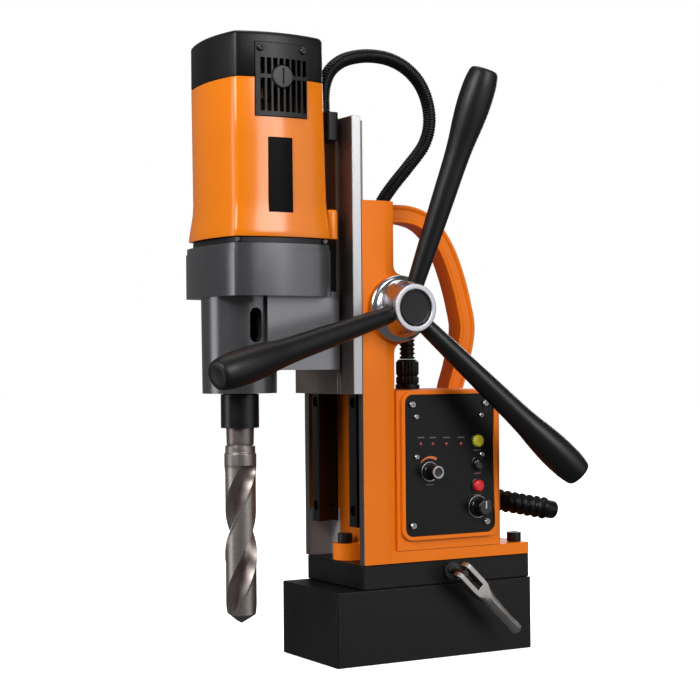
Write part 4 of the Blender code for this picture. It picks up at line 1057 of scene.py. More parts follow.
@dataclass
class Column:
    """Cast column with its foot, its dovetail rails and the bolts that hold it down."""

    cast_edge: float = 1.0
    screw_heights: Tuple[float, ...] = (107.5, 183.7, 259.9)
    screw_x: float = 27.6
    screw_face: float = -57.6
    screw_head: Point = (3.3, 1.8, 1.1)

    def build(self) -> None:
        """Make the column."""
        refined("frame_casting", ORANGE_CAST, Body.FRAME, "orange_casting", self.cast_edge, 3)
        for side in ("right", "left"):
            refined("gib_rail_" + side, RAIL_STEEL, Body.FRAME, "slide_steel", 0.3)
            dress(BRONZE, "feed_bush_" + side)
        points = [(side * self.screw_x, self.screw_face, z) for side in (1, -1) for z in self.screw_heights]
        fit_screws(Piece("rail_screws", BOLT_STEEL, Body.FRAME, "slide_steel"), points, (0, -1, 0),
                   self.screw_head)
        for name in ("front", "right", "left"):
            self.build_bolt("base_bolt_" + name)

    def build_bolt(self, node: str) -> None:
        """Socket cap screw with a knurled head, in the place of a CAD bolt."""
        low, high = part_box(node)
        middle = (low + high) / 2 / MM
        top, radius = high.z / MM, (high.x - low.x) / 2 / MM
        crown, rim, foot = top + 0.8, radius + 0.3, top - 6.0
        profile = softened([(3.0, low.z / MM), (3.0, foot), (rim, foot), (rim, crown), (2.7, crown),
                            (2.4, top - 3.2)], 0.5)
        place = Matrix.Translation((middle.x, middle.y, 0.0))
        Piece(node + "_finished", BOLT_STEEL, Body.FRAME, "black_bolt", (node,)).turn(
            place, profile, 96, knurl=Knurl(32, 0.28, top - 5.2, crown - 0.9))


@dataclass
class CarryLoop:
    """Cast carrying loop with raised rims along both edges of its sides."""

    route: Tuple[Flat, ...] = (
        (-34.0, 320.5), (-16.0, 320.8), (-1.0, 320.6), (13.0, 316.5), (25.0, 306.5), (34.5, 292.0),
        (41.8, 274.0), (47.2, 255.0), (50.2, 236.0), (45.0, 211.5), (38.7, 192.4))
    half_wide: float = 8.4
    half_deep: float = 6.6

    def section(self) -> List[Flat]:
        """Cross-section with a shallow trough between the rims."""
        wide, deep = self.half_wide, self.half_deep
        half = [(wide, -deep), (wide, -deep + 2.3), (wide - 1.3, -deep + 3.4), (wide - 1.3, deep - 3.4),
                (wide, deep - 2.3), (wide, deep)]
        return ring_softened(half + [(-x, -y) for x, y in half], 1.0, 4)

    def build(self) -> None:
        """Make the loop."""
        path = smooth_route([Vector((0.0, y, z)) for y, z in self.route], 7)
        outline, rings = self.section(), []
        for index, point in enumerate(path):
            along = (path[min(index + 1, len(path) - 1)] - path[max(index - 1, 0)]).normalized()
            if index == 0:
                along = Vector((0.0, 1.0, 0.0))
            if index == len(path) - 1:
                along = Vector((0.0, 0.0, -1.0))
            outward = Vector((1.0, 0.0, 0.0)).cross(along)
            rings.append([point + Vector((x, 0.0, 0.0)) + outward * deep for x, deep in outline])
        Piece("carry_loop", ORANGE_CAST, Body.FRAME, "orange_casting", ("carry_handle",), 40.0).cover(rings)


@dataclass
class ControlBox:
    """Control box with its panel, screws, lamps, print, buttons and knobs."""

    face: float = 44.5
    screws: Tuple[Flat, ...] = ((-22.5, 182.0), (40.2, 182.0), (-22.4, 96.1), (40.4, 96.1))
    studs: Tuple[Flat, ...] = ((-19.0, 173.3), (36.6, 173.3), (-19.0, 144.8), (36.8, 144.8))
    lamps: Tuple[Flat, ...] = ((-15.1, 153.9), (-5.0, 153.6), (6.5, 153.3), (19.0, 153.0))
    button_y: float = 33.1
    button_radius: float = 4.3
    buttons: Tuple[Tuple[str, Body, Finish, str, float], ...] = (
        ("start_button", Body.START, YELLOW, "button_yellow", 154.6),
        ("mode_button", Body.MODE, BLACK_GLOSS, "button_black", 137.8),
        ("stop_button", Body.STOP, RED, "button_red", 122.2),
    )
    speed_at: Flat = (-8.0, 134.0)
    scale_radius: float = 9.4
    switch_at: Flat = (33.0, 107.0)

    def build(self) -> None:
        """Make the box and all that is on it."""
        refined("control_box", ORANGE_CAST, Body.FRAME, "orange_casting", 0.9, 3)
        refined("panel_plate", PANEL_FILM, Body.FRAME, "panel_black", 0.3)
        dress(BOARD_GREEN, "circuit_board")
        self.build_screws()
        self.build_lamps()
        self.build_print()
        for name, body, finish, slot, height in self.buttons:
            self.build_button(name, body, finish, slot, height)
        self.build_speed_knob()
        self.build_switch_knob()

    def on_face(self, y: float, z: float) -> Matrix:
        """Matrix on the panel's face whose z points out of it."""
        return frame_at((0.0, y, z), (1, 0, 0), (0, 0, 1))

    def build_screws(self) -> None:
        """Corner screws and the smaller studs of the board."""
        groups = (("panel_screws", self.screws, 2.5, 1.6), ("panel_studs", self.studs, 1.9, 1.2))
        for name, spots, radius, height in groups:
            points = [(self.face + 0.45 * height, y, z) for y, z in spots]
            fit_screws(Piece(name, STEEL_SCREW, Body.FRAME, "pivot_steel"), points, (1, 0, 0),
                       (radius, height, radius * 0.3))

    def build_lamps(self) -> None:
        """Four small signal lenses."""
        face = self.face
        dome = [(1.2, face - 0.4), (1.2, face + 0.25), (0.9, face + 0.55), (0.3, face + 0.7)]
        bm = bmesh.new()
        for y, z in self.lamps:
            turned(bm, self.on_face(y, z), dome, 20)
        Piece("signal_lenses", LAMP, Body.FRAME, "panel_black").add(bm)

    def build_print(self) -> None:
        """Plain printed bars by the lamps and buttons, and the scale of the speed knob."""
        proud = self.face + 0.04
        bars = [(proud, y, z + 4.6) for y, z in self.lamps]
        print_bars(Piece("lamp_marks", MARK_GREY, Body.FRAME, "panel_black"), bars, 5.5, 0.7)
        bars = [(proud, self.button_y, z - 6.6) for _, _, _, _, z in self.buttons]
        bars += [(proud, self.speed_at[0], self.speed_at[1] - self.scale_radius)]
        print_bars(Piece("button_marks", MARK_GREY, Body.FRAME, "panel_black"), bars, 6.0, 0.6)
        self.build_scale()

    def build_scale(self) -> None:
        """Printed wedge over the speed knob, which widens as the speed rises."""
        y, z = self.speed_at
        steps, inner, rings = 24, self.scale_radius, []
        low, high = self.face, self.face + 0.09
        for step in range(steps + 1):
            t = step / steps
            angle, outer = math.radians(138.0 - 82.0 * t), inner + 0.7 + 1.4 * t
            rings.append([Vector((x, y + r * math.cos(angle), z + r * math.sin(angle)))
                          for x, r in ((low, inner), (low, outer), (high, outer), (high, inner))])
        Piece("speed_scale", MARK_ORANGE, Body.FRAME, "panel_black").cover(rings)

    def build_button(self, name: str, body: Body, finish: Finish, slot: str, height: float) -> None:
        """Domed push button with its bezel."""
        radius, face, place = self.button_radius, self.face, self.on_face(self.button_y, height)
        profile = softened([(radius, 36.0), (radius, 47.1), (radius - 0.9, 47.8), (radius - 2.4, 48.0),
                            (0.4, 48.0)], 0.5, 4)
        Piece(name + "_cap", finish, body, slot, (name,)).turn(place, profile, 48)
        bezel = ring_softened([(radius + 0.35, face + 0.02), (radius + 1.5, face + 0.02),
                               (radius + 1.3, face + 0.8), (radius + 0.45, face + 0.9)], 0.25, 2)
        Piece(name + "_bezel", BLACK_GLOSS, Body.FRAME, "panel_black").turn(place, bezel, 48, True)

    def build_collar(self, name: str, place: Matrix, section: Sequence[Flat]) -> None:
        """Bright collar where a knob meets the panel."""
        Piece(name, KNOB_RIM, Body.FRAME, "hub_chrome").turn(place, ring_softened(section, 0.2, 2), 48, True)

    def build_speed_knob(self) -> None:
        """Speed knob: fluted black skirt, bright rim and a recessed front."""
        place = self.on_face(*self.speed_at)
        profile = softened([(3.0, 31.0), (3.0, 44.95), (6.0, 44.95), (6.0, 47.2), (5.4, 47.9), (4.9, 55.4),
                            (4.4, 56.3), (3.0, 56.3), (2.8, 55.7), (0.3, 55.6)], 0.35)
        Piece("speed_knob_body", BLACK_GLOSS, Body.SPEED, "button_black", ("speed_knob",)).turn(
            place, profile, 72, knurl=Knurl(18, 0.4, 48.2, 55.2))
        rim = ring_softened([(2.9, 55.6), (4.85, 55.4), (4.6, 56.5), (3.1, 56.5)], 0.2, 2)
        Piece("speed_knob_rim", KNOB_RIM, Body.SPEED, "hub_chrome").turn(place, rim, 48, True)
        self.build_collar("speed_knob_collar", place, [(6.3, 44.55), (7.3, 44.55), (7.1, 45.4), (6.4, 45.4)])

    def build_switch_knob(self) -> None:
        """Magnet switch knob with its bright pointer."""
        place = self.on_face(*self.switch_at)
        profile = softened([(3.0, 31.0), (3.0, 44.95), (7.0, 44.95), (7.0, 47.4), (6.3, 48.2), (5.7, 54.8),
                            (5.1, 55.6), (0.4, 55.6)], 0.4)
        Piece("switch_knob_body", BLACK_GLOSS, Body.SWITCH, "button_black", ("magnet_knob",)).turn(
            place, profile, 72, knurl=Knurl(12, 0.6, 48.6, 54.8))
        bm = bmesh.new()
        pointer = ring_softened([(-0.6, -0.5), (4.8, -0.5), (4.8, 0.5), (-0.6, 0.5)], 0.3, 2)
        prism(bm, place, pointer, 55.5, 55.85)
        Piece("switch_pointer", CHROME, Body.SWITCH, "hub_chrome").add(bm)
        self.build_collar("switch_knob_collar", place, [(7.4, 44.55), (8.3, 44.55), (8.1, 45.3), (7.5, 45.3)])


@dataclass
class Conduit:
    """Flexible conduit from the motor to the control box, with its glands and the mains strain relief."""

    route: Tuple[Point, ...] = (
        (17.0, -77.0, 388.4), (17.0, -77.0, 394.0), (16.8, -76.9, 401.0), (16.2, -75.3, 410.0),
        (15.5, -70.5, 419.5), (15.0, -61.8, 426.8), (13.0, -50.1, 431.4), (11.0, -34.6, 434.1),
        (8.0, -16.7, 433.7), (5.0, 0.1, 428.5), (1.0, 14.2, 418.9), (-3.0, 23.3, 405.9),
        (-7.0, 27.4, 390.8), (-10.0, 24.0, 375.2), (-13.0, 12.2, 359.1), (-15.0, -0.2, 344.3),
        (-16.0, -9.8, 331.0), (-16.0, -17.0, 315.0), (-16.0, -20.0, 299.0), (-14.5, -17.0, 283.5),
        (-12.5, -9.5, 269.0), (-9.5, -2.2, 254.0), (-6.4, 3.0, 241.0), (-5.0, 4.8, 230.0),
        (-5.0, 4.8, 222.0), (-5.0, 4.8, 214.7),
    )
    radius: float = 5.0
    pitch: float = 2.0
    relief_root: Point = (28.0, 56.0, 110.6)
    relief_end: Point = (28.0, 113.5, 99.4)
    relief_rib: Point = (8.3, 3.2, 6.8)

    def build(self) -> None:
        """Make the conduit and its ends."""
        self.build_hose([self.build_box_gland(), self.build_sleeve()])
        refined("motor_gland", BLACK_RUBBER, Body.CARRIAGE, "black_rubber", 0.5, 3)
        self.build_relief()

    def build_hose(self, ends: List[bpy.types.Object]) -> None:
        """Corrugated hose that bends between the carriage and the frame; ends are the pieces on it and are
        not used.
        """
        path = smooth_route([Vector(point) for point in self.route], 8)
        sizes = {"Radius": self.radius * MM, "Rib Depth": 0.45 * MM, "Pitch": self.pitch * MM, "Sides": 24}
        mesh = ribbed_tube_tree("conduit_ribs", BLACK_RUBBER).run(path_carrier(path), sizes)
        hose = bpy.data.objects.new("conduit_hose", mesh)
        bpy.context.scene.collection.objects.link(hose)
        length = sum((b - a).length for a, b in zip(path, path[1:])) * MM
        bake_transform(hose, Body.CARRIAGE.value, Body.FRAME.value, start=(0.015, -0.062, 0.427),
                 end=(0.015, -0.024, 0.427))
        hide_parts("motor_conduit")
        tuple(path[0] * MM)
        [tuple(point * MM) for point in path]
        LOG.info("conduit_hose: %.3f m", length)

    def build_box_gland(self) -> bpy.types.Object:
        """Knurled gland nut on the control box."""
        x, y, z = self.route[-1]
        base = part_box("box_gland")[0].z / MM
        profile = softened([(9.0, base), (9.0, base + 3.2), (7.7, base + 3.9), (8.5, base + 4.6),
                            (8.5, base + 8.6), (7.6, base + 9.2), (7.6, base + 10.2), (8.5, base + 10.9),
                            (8.5, z - 2.6), (6.6, z - 0.4), (5.2, z - 0.4)], 0.4)
        return Piece("box_gland_nut", BLACK_RUBBER, Body.FRAME, "black_rubber", ("box_gland",)).turn(
            Matrix.Translation((x, y, 0.0)), profile, 120, knurl=Knurl(18, 0.9, base + 4.4, z - 2.4))

    def build_sleeve(self) -> bpy.types.Object:
        """Short coarse-ribbed sleeve round the hose just above the gland nut."""
        x, y, z = self.route[-1]
        profile = []
        for rib in range(5):
            low = z - 0.2 + 3.2 * rib
            profile += [(4.7, low), (5.6, low + 0.5), (5.9, low + 1.1), (5.6, low + 1.7), (4.7, low + 2.2)]
        profile += [(4.2, profile[-1][1]), (4.2, profile[0][1])]
        return Piece("conduit_sleeve", BLACK_RUBBER, Body.FRAME, "black_rubber").turn(
            Matrix.Translation((x, y, 0.0)), profile, 40, True)

    def build_relief(self) -> None:
        """Ribbed strain relief with a smooth mouth."""
        root, end = Vector(self.relief_root), Vector(self.relief_end)
        along = (end - root).normalized()
        path = [root + along * (1.0 + 0.25 * step) for step in range(191)]
        radius, depth, pitch = (value * MM for value in self.relief_rib)
        sizes = {"Radius": radius, "Rib Depth": depth, "Pitch": pitch, "Sides": 32}
        mesh = ribbed_tube_tree("relief_ribs", BLACK_RUBBER).run(path_carrier(path), sizes)
        Piece("mains_relief_ribs", BLACK_RUBBER, Body.FRAME, "black_rubber",
              ("mains_strain_relief",)).wear(mesh)
        length = (end - root).length
        mouth = softened([(6.2, length - 12.0), (7.0, length - 9.5), (7.0, length - 1.2), (6.0, length),
                          (4.2, length), (4.0, length - 1.0), (4.0, length - 11.0)], 0.7)
        Piece("mains_relief_mouth", BLACK_RUBBER, Body.FRAME, "black_rubber").turn(
            frame_at(root, along, (1, 0, 0)), mouth, 48)
        collar = softened([(4.5, -5.0), (4.5, 0.7), (8.6, 0.7), (8.6, 1.9), (6.0, 2.6)], 0.4)
        Piece("mains_relief_collar", BLACK_RUBBER, Body.FRAME, "black_rubber").turn(
            frame_at((root.x, 55.0, root.z + 0.2), (0, 1, 0), (1, 0, 0)), collar, 48)


@dataclass
class SwivelClamp:
    """Clamp stud and the forked lever that pulls it tight."""

    def build(self) -> None:
        """Make the clamp."""
        refined("clamp_stud", STUD_STEEL, Body.FRAME, "slide_steel", 0.25)
        refined("clamp_lever", LEVER_STEEL, Body.CLAMP, "lever_steel", 0.45, 3)


@dataclass
class Slide:
    """Slide plate with the feed rack behind it."""

    def build(self) -> None:
        """Make the slide."""
        refined("slide_plate", SLIDE_STEEL, Body.CARRIAGE, "slide_steel", 0.35)
        dress(BARE_STEEL, "feed_rack")


@dataclass
class GearHead:
    """Gear casing under the motor, with its neck, drift slot and bracket."""

    edge: float = 0.6
    joint_screws: Tuple[Point, ...] = ((37.4, -155.0, 296.0), (39.0, -88.5, 296.0))
    screw_head: Point = (1.7, 1.2, 0.5)

    def build(self) -> None:
        """Make the casing and dress what it holds."""
        refined("gear_casing", GUNMETAL, Body.CARRIAGE, "gunmetal", self.edge, 3)
        refined("bearing_plate", BOLT_STEEL, Body.CARRIAGE, "gunmetal", 0.3)
        dress(BARE_STEEL, "spindle_bearing_lower", "spindle_bearing_upper", "intermediate_shaft",
              "intermediate_gear", "spindle_gear")
        fit_screws(Piece("joint_screws", STEEL_SCREW, Body.CARRIAGE, "pivot_steel"), self.joint_screws,
                   (1, -0.6, 0), self.screw_head)


@dataclass
class Motor:
    """Motor with its orange housing, black cap, vent grilles, brush caps and blank label."""

    centre_y: float = -121.4
    levels: Tuple[Tuple[float, float, float, float], ...] = (
        (38.0, -157.0, -83.7, 298.3), (38.2, -157.2, -83.5, 299.2), (37.8, -156.8, -83.8, 303.5),
        (36.7, -155.9, -84.2, 310.5), (35.8, -155.1, -84.6, 317.5), (35.4, -154.8, -84.9, 324.0),
        (35.6, -155.1, -86.2, 365.0), (35.8, -155.4, -87.3, 405.5), (35.5, -155.1, -87.1, 406.3))
    wall: float = 3.0
    cap_top: float = 437.9
    cap_sides: Point = (35.8, -155.4, -87.4)
    grille_screws: Tuple[float, ...] = (-138.6, -106.2)
    grille_screw_z: float = 426.2
    grille_screw_head: Point = (2.5, 1.4, 0.8)
    brush_z: float = 407.3
    label: Tuple[Flat, Flat] = ((-133.0, 315.0), (-115.0, 366.0))

    def build(self) -> None:
        """Make the motor."""
        self.build_housing()
        self.build_cap()
        self.build_sides()
        self.build_label()
        dress(BARE_STEEL, "stator", "armature_shaft")
        dress(COPPER, "armature_core", "commutator")
        dress(BLACK_CAP, "cooling_fan")

    def window(self) -> bmesh.types.BMesh:
        """Cutter for the openings that the grilles fill."""
        bm = bmesh.new()
        for side, node in ((1, "vent_grille_right"), (-1, "vent_grille_left")):
            low, high = (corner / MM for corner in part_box(node))
            xs = sorted((side * 33.0, side * 55.0))
            block(bm, (xs[0], low.y - 0.3, low.z - 0.3), (xs[1], high.y + 0.3, high.z + 0.3))
        return bm

    def build_housing(self) -> None:
        """Orange shell with a flared foot and a screw boss at its rear corner."""
        outer = [pillow(*level) for level in self.levels]
        inner = [pillow(*level, self.wall) for level in reversed(self.levels[1:-1])]
        for ring, level in ((inner[0], self.levels[-1]), (inner[-1], self.levels[0])):
            for point in ring:
                point.z = level[3]
        bm = bmesh.new()
        skin(bm, outer + inner, True)
        boss = bmesh.new()
        profile = softened([(4.4, 298.4), (4.6, 299.0), (4.6, 317.6), (3.4, 319.0), (0.5, 319.0)], 0.8, 4)
        turned(boss, Matrix.Translation((31.5, -79.5, 0.0)), profile, 40)
        mesh = carved(carved(metric_mesh(bm, "housing"), boss, "UNION"), self.window())
        Piece("motor_housing_shell", ORANGE_SHELL, Body.CARRIAGE, "orange_housing", ("motor_housing",),
              38.0).wear(mesh)

    def build_cap(self) -> None:
        """Black end cap with a soft upper edge."""
        foot, top, inside = 407.0, self.cap_top, self.cap_top - self.wall
        inner = [(20.0, inside), (3.0, inside), (3.0, foot)]
        outer = [(0.25, foot - 0.4), (0.0, foot), (0.0, top - 3.2), (0.25, top - 2.0), (0.8, top - 1.0),
                 (1.7, top - 0.3), (3.0, top), (20.0, top)]
        bm = bmesh.new()
        skin(bm, [pillow(*self.cap_sides, z, inset) for inset, z in inner + outer])
        mesh = carved(metric_mesh(bm, "cap"), self.window())
        Piece("motor_cap_shell", BLACK_CAP, Body.CARRIAGE, "motor_black", ("motor_cap",), 38.0).wear(mesh)

    def build_sides(self) -> None:
        """Vent grilles, their screws and the brush caps."""
        y = self.centre_y - 1.0
        for name, side in (("right", 1), ("left", -1)):
            refined("vent_grille_" + name, BLACK_CAP, Body.CARRIAGE, "motor_black", 0.25)
            place = frame_at((0.0, y, self.brush_z), (side, 0, 0), (0, 0, 1))
            profile = softened([(3.2, 11.6), (3.2, 28.0), (5.0, 28.0), (5.0, 38.2), (7.8, 38.2), (7.8, 42.9),
                                (7.2, 43.6), (0.5, 43.6)], 0.4)
            bm, slit = bmesh.new(), bmesh.new()
            turned(bm, place, profile, 48)
            prism(slit, place, [(-5.6, -0.8), (5.6, -0.8), (5.6, 0.8), (-5.6, 0.8)], 42.4, 46.0)
            Piece("brush_cap_" + name + "_finished", DISC_GREY, Body.CARRIAGE, "motor_black",
                  ("brush_cap_" + name,)).wear(carved(metric_mesh(bm, "brush"), slit))
            points = []
            for along in self.grille_screws:
                t = (along - self.centre_y) / 34.0
                points.append((side * (self.cap_sides[0] + SIDE_BOW * (1.0 - t * t) + 1.35), along,
                               self.grille_screw_z))
            fit_screws(Piece("grille_screws_" + name, BOLT_STEEL, Body.CARRIAGE, "black_bolt"), points,
                       (side, 0, 0), self.grille_screw_head)

    def build_label(self) -> None:
        """Blank glossy label on the housing's bowed side."""
        (y0, z0), (y1, z1) = self.label
        steps, rings = 12, []
        for step in range(steps + 1):
            y = y0 + (y1 - y0) * step / steps
            bow = SIDE_BOW * (1.0 - ((y - self.centre_y - 1.5) / 34.9) ** 2)
            rings.append([Vector((self.side_at(z) + bow + 0.02 + lift, y, z))
                          for lift, z in ((0.0, z0), (0.4, z0), (0.4, z1), (0.0, z1))])
        Piece("motor_label", LABEL_FILM, Body.CARRIAGE, "motor_black").cover(rings)

    @staticmethod
    def side_at(z: float) -> float:
        """Half width of the housing at a height, without its bow: it flares below its waist."""
        waist, half = 324.0, 35.4
        return half + (0.2 * (z - waist) / 41.0 if z > waist else 0.06 * (waist - z))


@dataclass
class DrillSpindle:
    """Spindle nose and the taper-shank twist drill."""

    y: float = -136.0
    radius: float = 11.2
    tip: float = 31.4
    half_point: float = 59.0
    pitch: float = 128.0
    datum: Flat = (95.0, -26.0)
    flute_top: float = 141.5
    runout: float = 17.0
    flute_share: float = 0.66
    flute_span: Flat = (0.27, 0.73)
    margin: float = 0.045
    clearance: float = 0.45
    points: int = 120

    def build(self) -> None:
        """Make the spindle and the drill."""
        self.build_spindle()
        self.build_drill()

    def build_spindle(self) -> None:
        """Blackened spindle with a chamfered nose."""
        refined("spindle", SPINDLE_STEEL, Body.SPINDLE, "spindle_black", 0.5, 3)

    def section(self, angle: float, depth: float) -> float:
        """Radius of the drill at an angle; depth runs from 0, round, to 1, full flutes."""
        turn = (angle % math.pi) / math.pi
        start, end = self.flute_span
        cleared = self.radius - self.clearance * min(depth * 3.0, 1.0)
        if depth <= 0.0:
            return self.radius
        if start < turn < end:
            share = math.sin(math.pi * (turn - start) / (end - start))
            lip = self.radius if turn > 0.5 else cleared
            return lip - self.radius * self.flute_share * depth * share ** 0.75
        return self.radius if end <= turn < end + self.margin else cleared

    def build_drill(self) -> None:
        """Twist drill with two helical flutes, margins and a ground point."""
        heights = [self.tip + 0.25 * step for step in range(30)]
        heights += [self.tip + 7.6 + 1.1 * step for step in range(94)] + [self.flute_top]
        angles = [TAU * index / self.points for index in range(self.points)]
        twist, rings = 0.0, []
        for z in heights:
            twist = math.radians(self.datum[1]) + TAU * (z - self.datum[0]) / self.pitch
            depth = min(max((self.flute_top - z) / self.runout, 0.0), 1.0) ** 0.55
            cone = 0.25 + (z - self.tip) * math.tan(math.radians(self.half_point))
            rings.append([self.on_drill(min(self.section(angle, depth), cone), angle + twist, z)
                          for angle in angles])
        shank = softened([(11.2, 141.6), (11.2, 149.4), (10.5, 150.2), (10.5, 154.8), (9.1, 155.5),
                          (9.5, 156.4), (9.75, 167.4), (8.2, 232.0), (6.0, 234.0), (6.0, 244.0)], 0.5)
        rings += [[self.on_drill(radius, angle + twist, z) for angle in angles] for radius, z in shank]
        Piece("twist_drill", DRILL_STEEL, Body.SPINDLE, "drill_steel", ("drill_bit",), 50.0).cover(rings)

    def on_drill(self, radius: float, angle: float, z: float) -> Vector:
        """Point at a radius and an angle round the drill's axis."""
        return Vector((radius * math.cos(angle), self.y + radius * math.sin(angle), z))


@dataclass
class FeedHub:
    """Chromed feed hub with its ring and cap, and three handles."""

    centre: Point = (57.0, -33.1, 249.8)
    start_angle: float = 75.5
    cant: float = 11.9
    grip: Tuple[Flat, ...] = (
        (18.5, 6.1), (30.0, 6.5), (45.0, 7.0), (76.0, 7.9), (105.0, 8.6), (120.0, 9.4), (134.0, 10.9),
        (148.0, 11.9), (162.0, 11.7), (170.0, 10.6), (172.6, 9.8))
    letters: str = "abc"

    def direction(self, index: int) -> Vector:
        """Unit vector along one handle."""
        angle, cant = math.radians(self.start_angle + 120.0 * index), math.radians(self.cant)
        return Vector((math.sin(cant), math.cos(cant) * math.cos(angle), math.cos(cant) * math.sin(angle)))

    def build(self) -> None:
        """Make the hub and the handles."""
        place = frame_at((0.0, self.centre[1], self.centre[2]), (1, 0, 0), (0, 0, 1))
        barrel = smooth_profile([(22.6, 48.5), (20.6, 49.5), (19.0, 51.6), (17.7, 54.8), (16.8, 59.0),
                                 (16.3, 64.6)])
        flange = softened([(6.8, 64.6), (6.8, 44.4), (22.4, 44.4), (23.7, 45.1), (23.7, 47.4), (23.1, 48.1),
                           (22.6, 48.5)], 0.3)
        Piece("feed_hub_body", CHROME, Body.FEED, "hub_chrome", ("feed_hub",), 45.0).turn(
            place, flange[:-1] + barrel, 96, True)
        ring = ring_softened([(12.9, 64.9), (16.7, 64.9), (16.7, 68.6), (12.9, 68.6)], 0.7, 4)
        Piece("hub_ring_finished", RING_ALUMINIUM, Body.FEED, "ring_aluminium", ("hub_ring",), 45.0).turn(
            place, ring, 96, True)
        cap = softened([(12.5, 65.0), (12.5, 67.1), (11.9, 67.6), (10.9, 67.3), (0.6, 67.3)], 0.3)
        Piece("hub_cap_finished", BLACK_CAP, Body.FEED, "motor_black", ("hub_cap",)).turn(place, cap, 72)
        dress(BARE_STEEL, "feed_shaft", "feed_pinion")
        for index, letter in enumerate(self.letters):
            dress(CHROME, "handle_rod_" + letter)
            self.build_grip(index, letter)

    def build_grip(self, index: int, letter: str) -> None:
        """Moulded grip that swells towards its end, with a shallow ring at the mouth."""
        profile = [(4.3, 150.0), (4.3, 18.6), (5.7, 18.5)] + [(r, t) for t, r in smooth_profile(self.grip)]
        profile += [(9.2, 173.5), (8.3, 174.0), (5.0, 173.6), (0.6, 173.4)]
        Piece("handle_grip_" + letter + "_finished", BLACK_GRIP, Body.FEED, "grip_black",
              ("handle_grip_" + letter,), 38.0).turn(
                  frame_at(self.centre, self.direction(index), (1, 0, 0)), profile, 56)


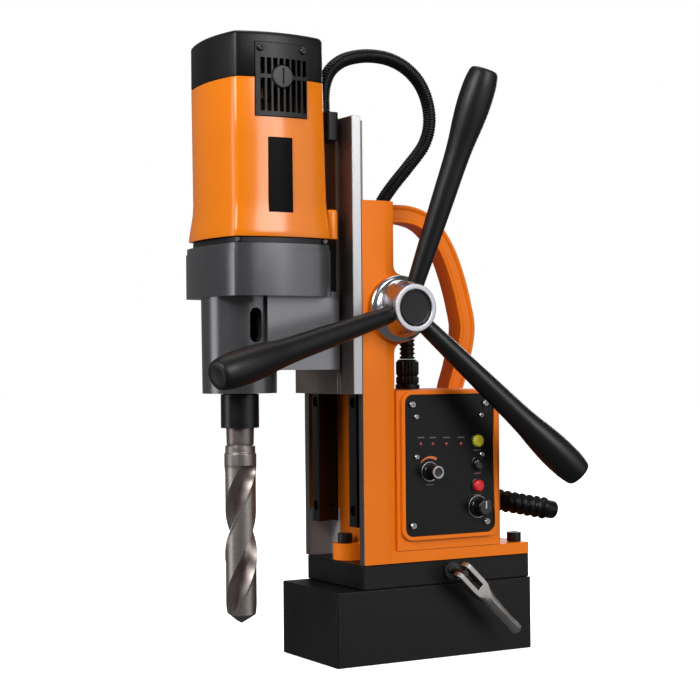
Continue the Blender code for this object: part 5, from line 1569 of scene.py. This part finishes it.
# ------------------------------------------------------------------ studio
@dataclass
class Studio:
    """Camera, floor and soft lights."""

    camera_at: Point = (1.03490, -0.64021, 0.21120)
    azimuth: float = 60.18
    pitch: float = -0.488
    roll: float = -0.497
    lens: float = 84.6
    floor_reach: float = 9.0
    floor_drop: float = 0.0004
    floor_glow: float = 0.95
    surround_light: float = 0.14
    backdrop_light: float = 1.25
    lights: Tuple[Tuple[str, Point, Point, Flat, float], ...] = (
        ("key", (0.60, -1.60, 1.25), (0.0, -0.08, 0.22), (0.9, 0.9), 34.0),
        ("fill", (1.55, 0.30, 0.95), (0.0, -0.02, 0.2), (0.7, 0.9), 20.0),
        ("side", (1.45, 0.95, 0.30), (0.0, -0.02, 0.25), (1.2, 1.5), 6.0),
        ("strip", (-0.45, -1.50, 0.35), (0.0, -0.12, 0.25), (0.6, 1.6), 9.0),
        ("top", (-0.3, 0.2, 1.8), (0.0, -0.05, 0.2), (1.0, 1.0), 8.0),
        ("back", (-1.2, 1.4, 0.9), (0.0, 0.0, 0.2), (0.9, 1.1), 14.0),
    )

    def build(self) -> None:
        """Set up the studio."""
        self.build_camera()
        self.build_floor()
        self.build_world()
        for name, at, aim, size, power in self.lights:
            light = bpy.data.lights.new(name, "AREA")
            light.shape, light.size, light.size_y, light.energy = "RECTANGLE", size[0], size[1], power
            obj = bpy.data.objects.new(name, light)
            obj.location = at
            obj.rotation_euler = (Vector(aim) - Vector(at)).to_track_quat("-Z", "Y").to_euler()
            bpy.context.scene.collection.objects.link(obj)

    def build_camera(self) -> None:
        """Long-lens camera at the front right."""
        azimuth, pitch, roll = (math.radians(value) for value in (self.azimuth, self.pitch, self.roll))
        ahead = Vector((-math.sin(azimuth) * math.cos(pitch), math.cos(azimuth) * math.cos(pitch),
                        -math.sin(pitch)))
        level = Vector((math.cos(azimuth), math.sin(azimuth), 0.0))
        upward = level.cross(ahead)
        right = math.cos(roll) * level + math.sin(roll) * upward
        up = -math.sin(roll) * level + math.cos(roll) * upward
        data = bpy.data.cameras.new("camera")
        data.lens, data.sensor_width = self.lens, 36.0
        camera = bpy.data.objects.new("camera", data)
        turn = Matrix((right, up, -ahead)).transposed().to_4x4()
        camera.matrix_world = Matrix.Translation(self.camera_at) @ turn
        bpy.context.scene.collection.objects.link(camera)
        bpy.context.scene.camera = camera

    def build_floor(self) -> None:
        """Wide pale floor just under the foot."""
        bm = bmesh.new()
        bmesh.ops.create_grid(bm, x_segments=1, y_segments=1, size=self.floor_reach)
        mesh = bpy.data.meshes.new("floor")
        bm.to_mesh(mesh)
        bm.free()
        graph = Graph("pale_floor")
        grain = graph.noise(graph.place(), 40.0, 3.0)
        pale = graph.blend(grain, (0.90, 0.90, 0.90), (0.93, 0.93, 0.93))
        graph.set(Base_Color=pale, Roughness=0.85, Emission_Color=pale, Emission_Strength=self.floor_glow)
        mesh.materials.append(graph.material)
        floor = bpy.data.objects.new("floor", mesh)
        floor.location.z = -self.floor_drop
        floor.visible_glossy = floor.visible_diffuse = False
        bpy.context.scene.collection.objects.link(floor)

    def build_world(self) -> None:
        """Even white surroundings, brighter behind the object than around it."""
        world = bpy.data.worlds.new("studio")
        world.use_nodes = True
        nodes, links = world.node_tree.nodes, world.node_tree.links
        surround = nodes["Background"]
        surround.inputs["Color"].default_value = (1.0, 1.0, 1.0, 1.0)
        surround.inputs["Strength"].default_value = self.surround_light
        behind = nodes.new("ShaderNodeBackground")
        behind.inputs["Strength"].default_value = self.backdrop_light
        ray, mixer = nodes.new("ShaderNodeLightPath"), nodes.new("ShaderNodeMixShader")
        links.new(ray.outputs["Is Camera Ray"], mixer.inputs[0])
        links.new(surround.outputs[0], mixer.inputs[1])
        links.new(behind.outputs[0], mixer.inputs[2])
        links.new(mixer.outputs[0], nodes["World Output"].inputs[0])
        bpy.context.scene.world = world
        bpy.context.scene.view_settings.view_transform = "Standard"


def main() -> None:
    """Load the frame, set up the studio and build every sub-assembly."""
    logging.basicConfig(level=logging.INFO, format="%(name)s: %(message)s")
    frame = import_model()
    NODES.update(frame["nodes"])
    Studio().build()
    assemblies = (Conduit(), MagnetFoot(), Column(), CarryLoop(), ControlBox(), SwivelClamp(), Slide(),
                  GearHead(), Motor(), DrillSpindle(), FeedHub())
    for assembly in assemblies:
        assembly.build()


if __name__ == "__main__":
    main()
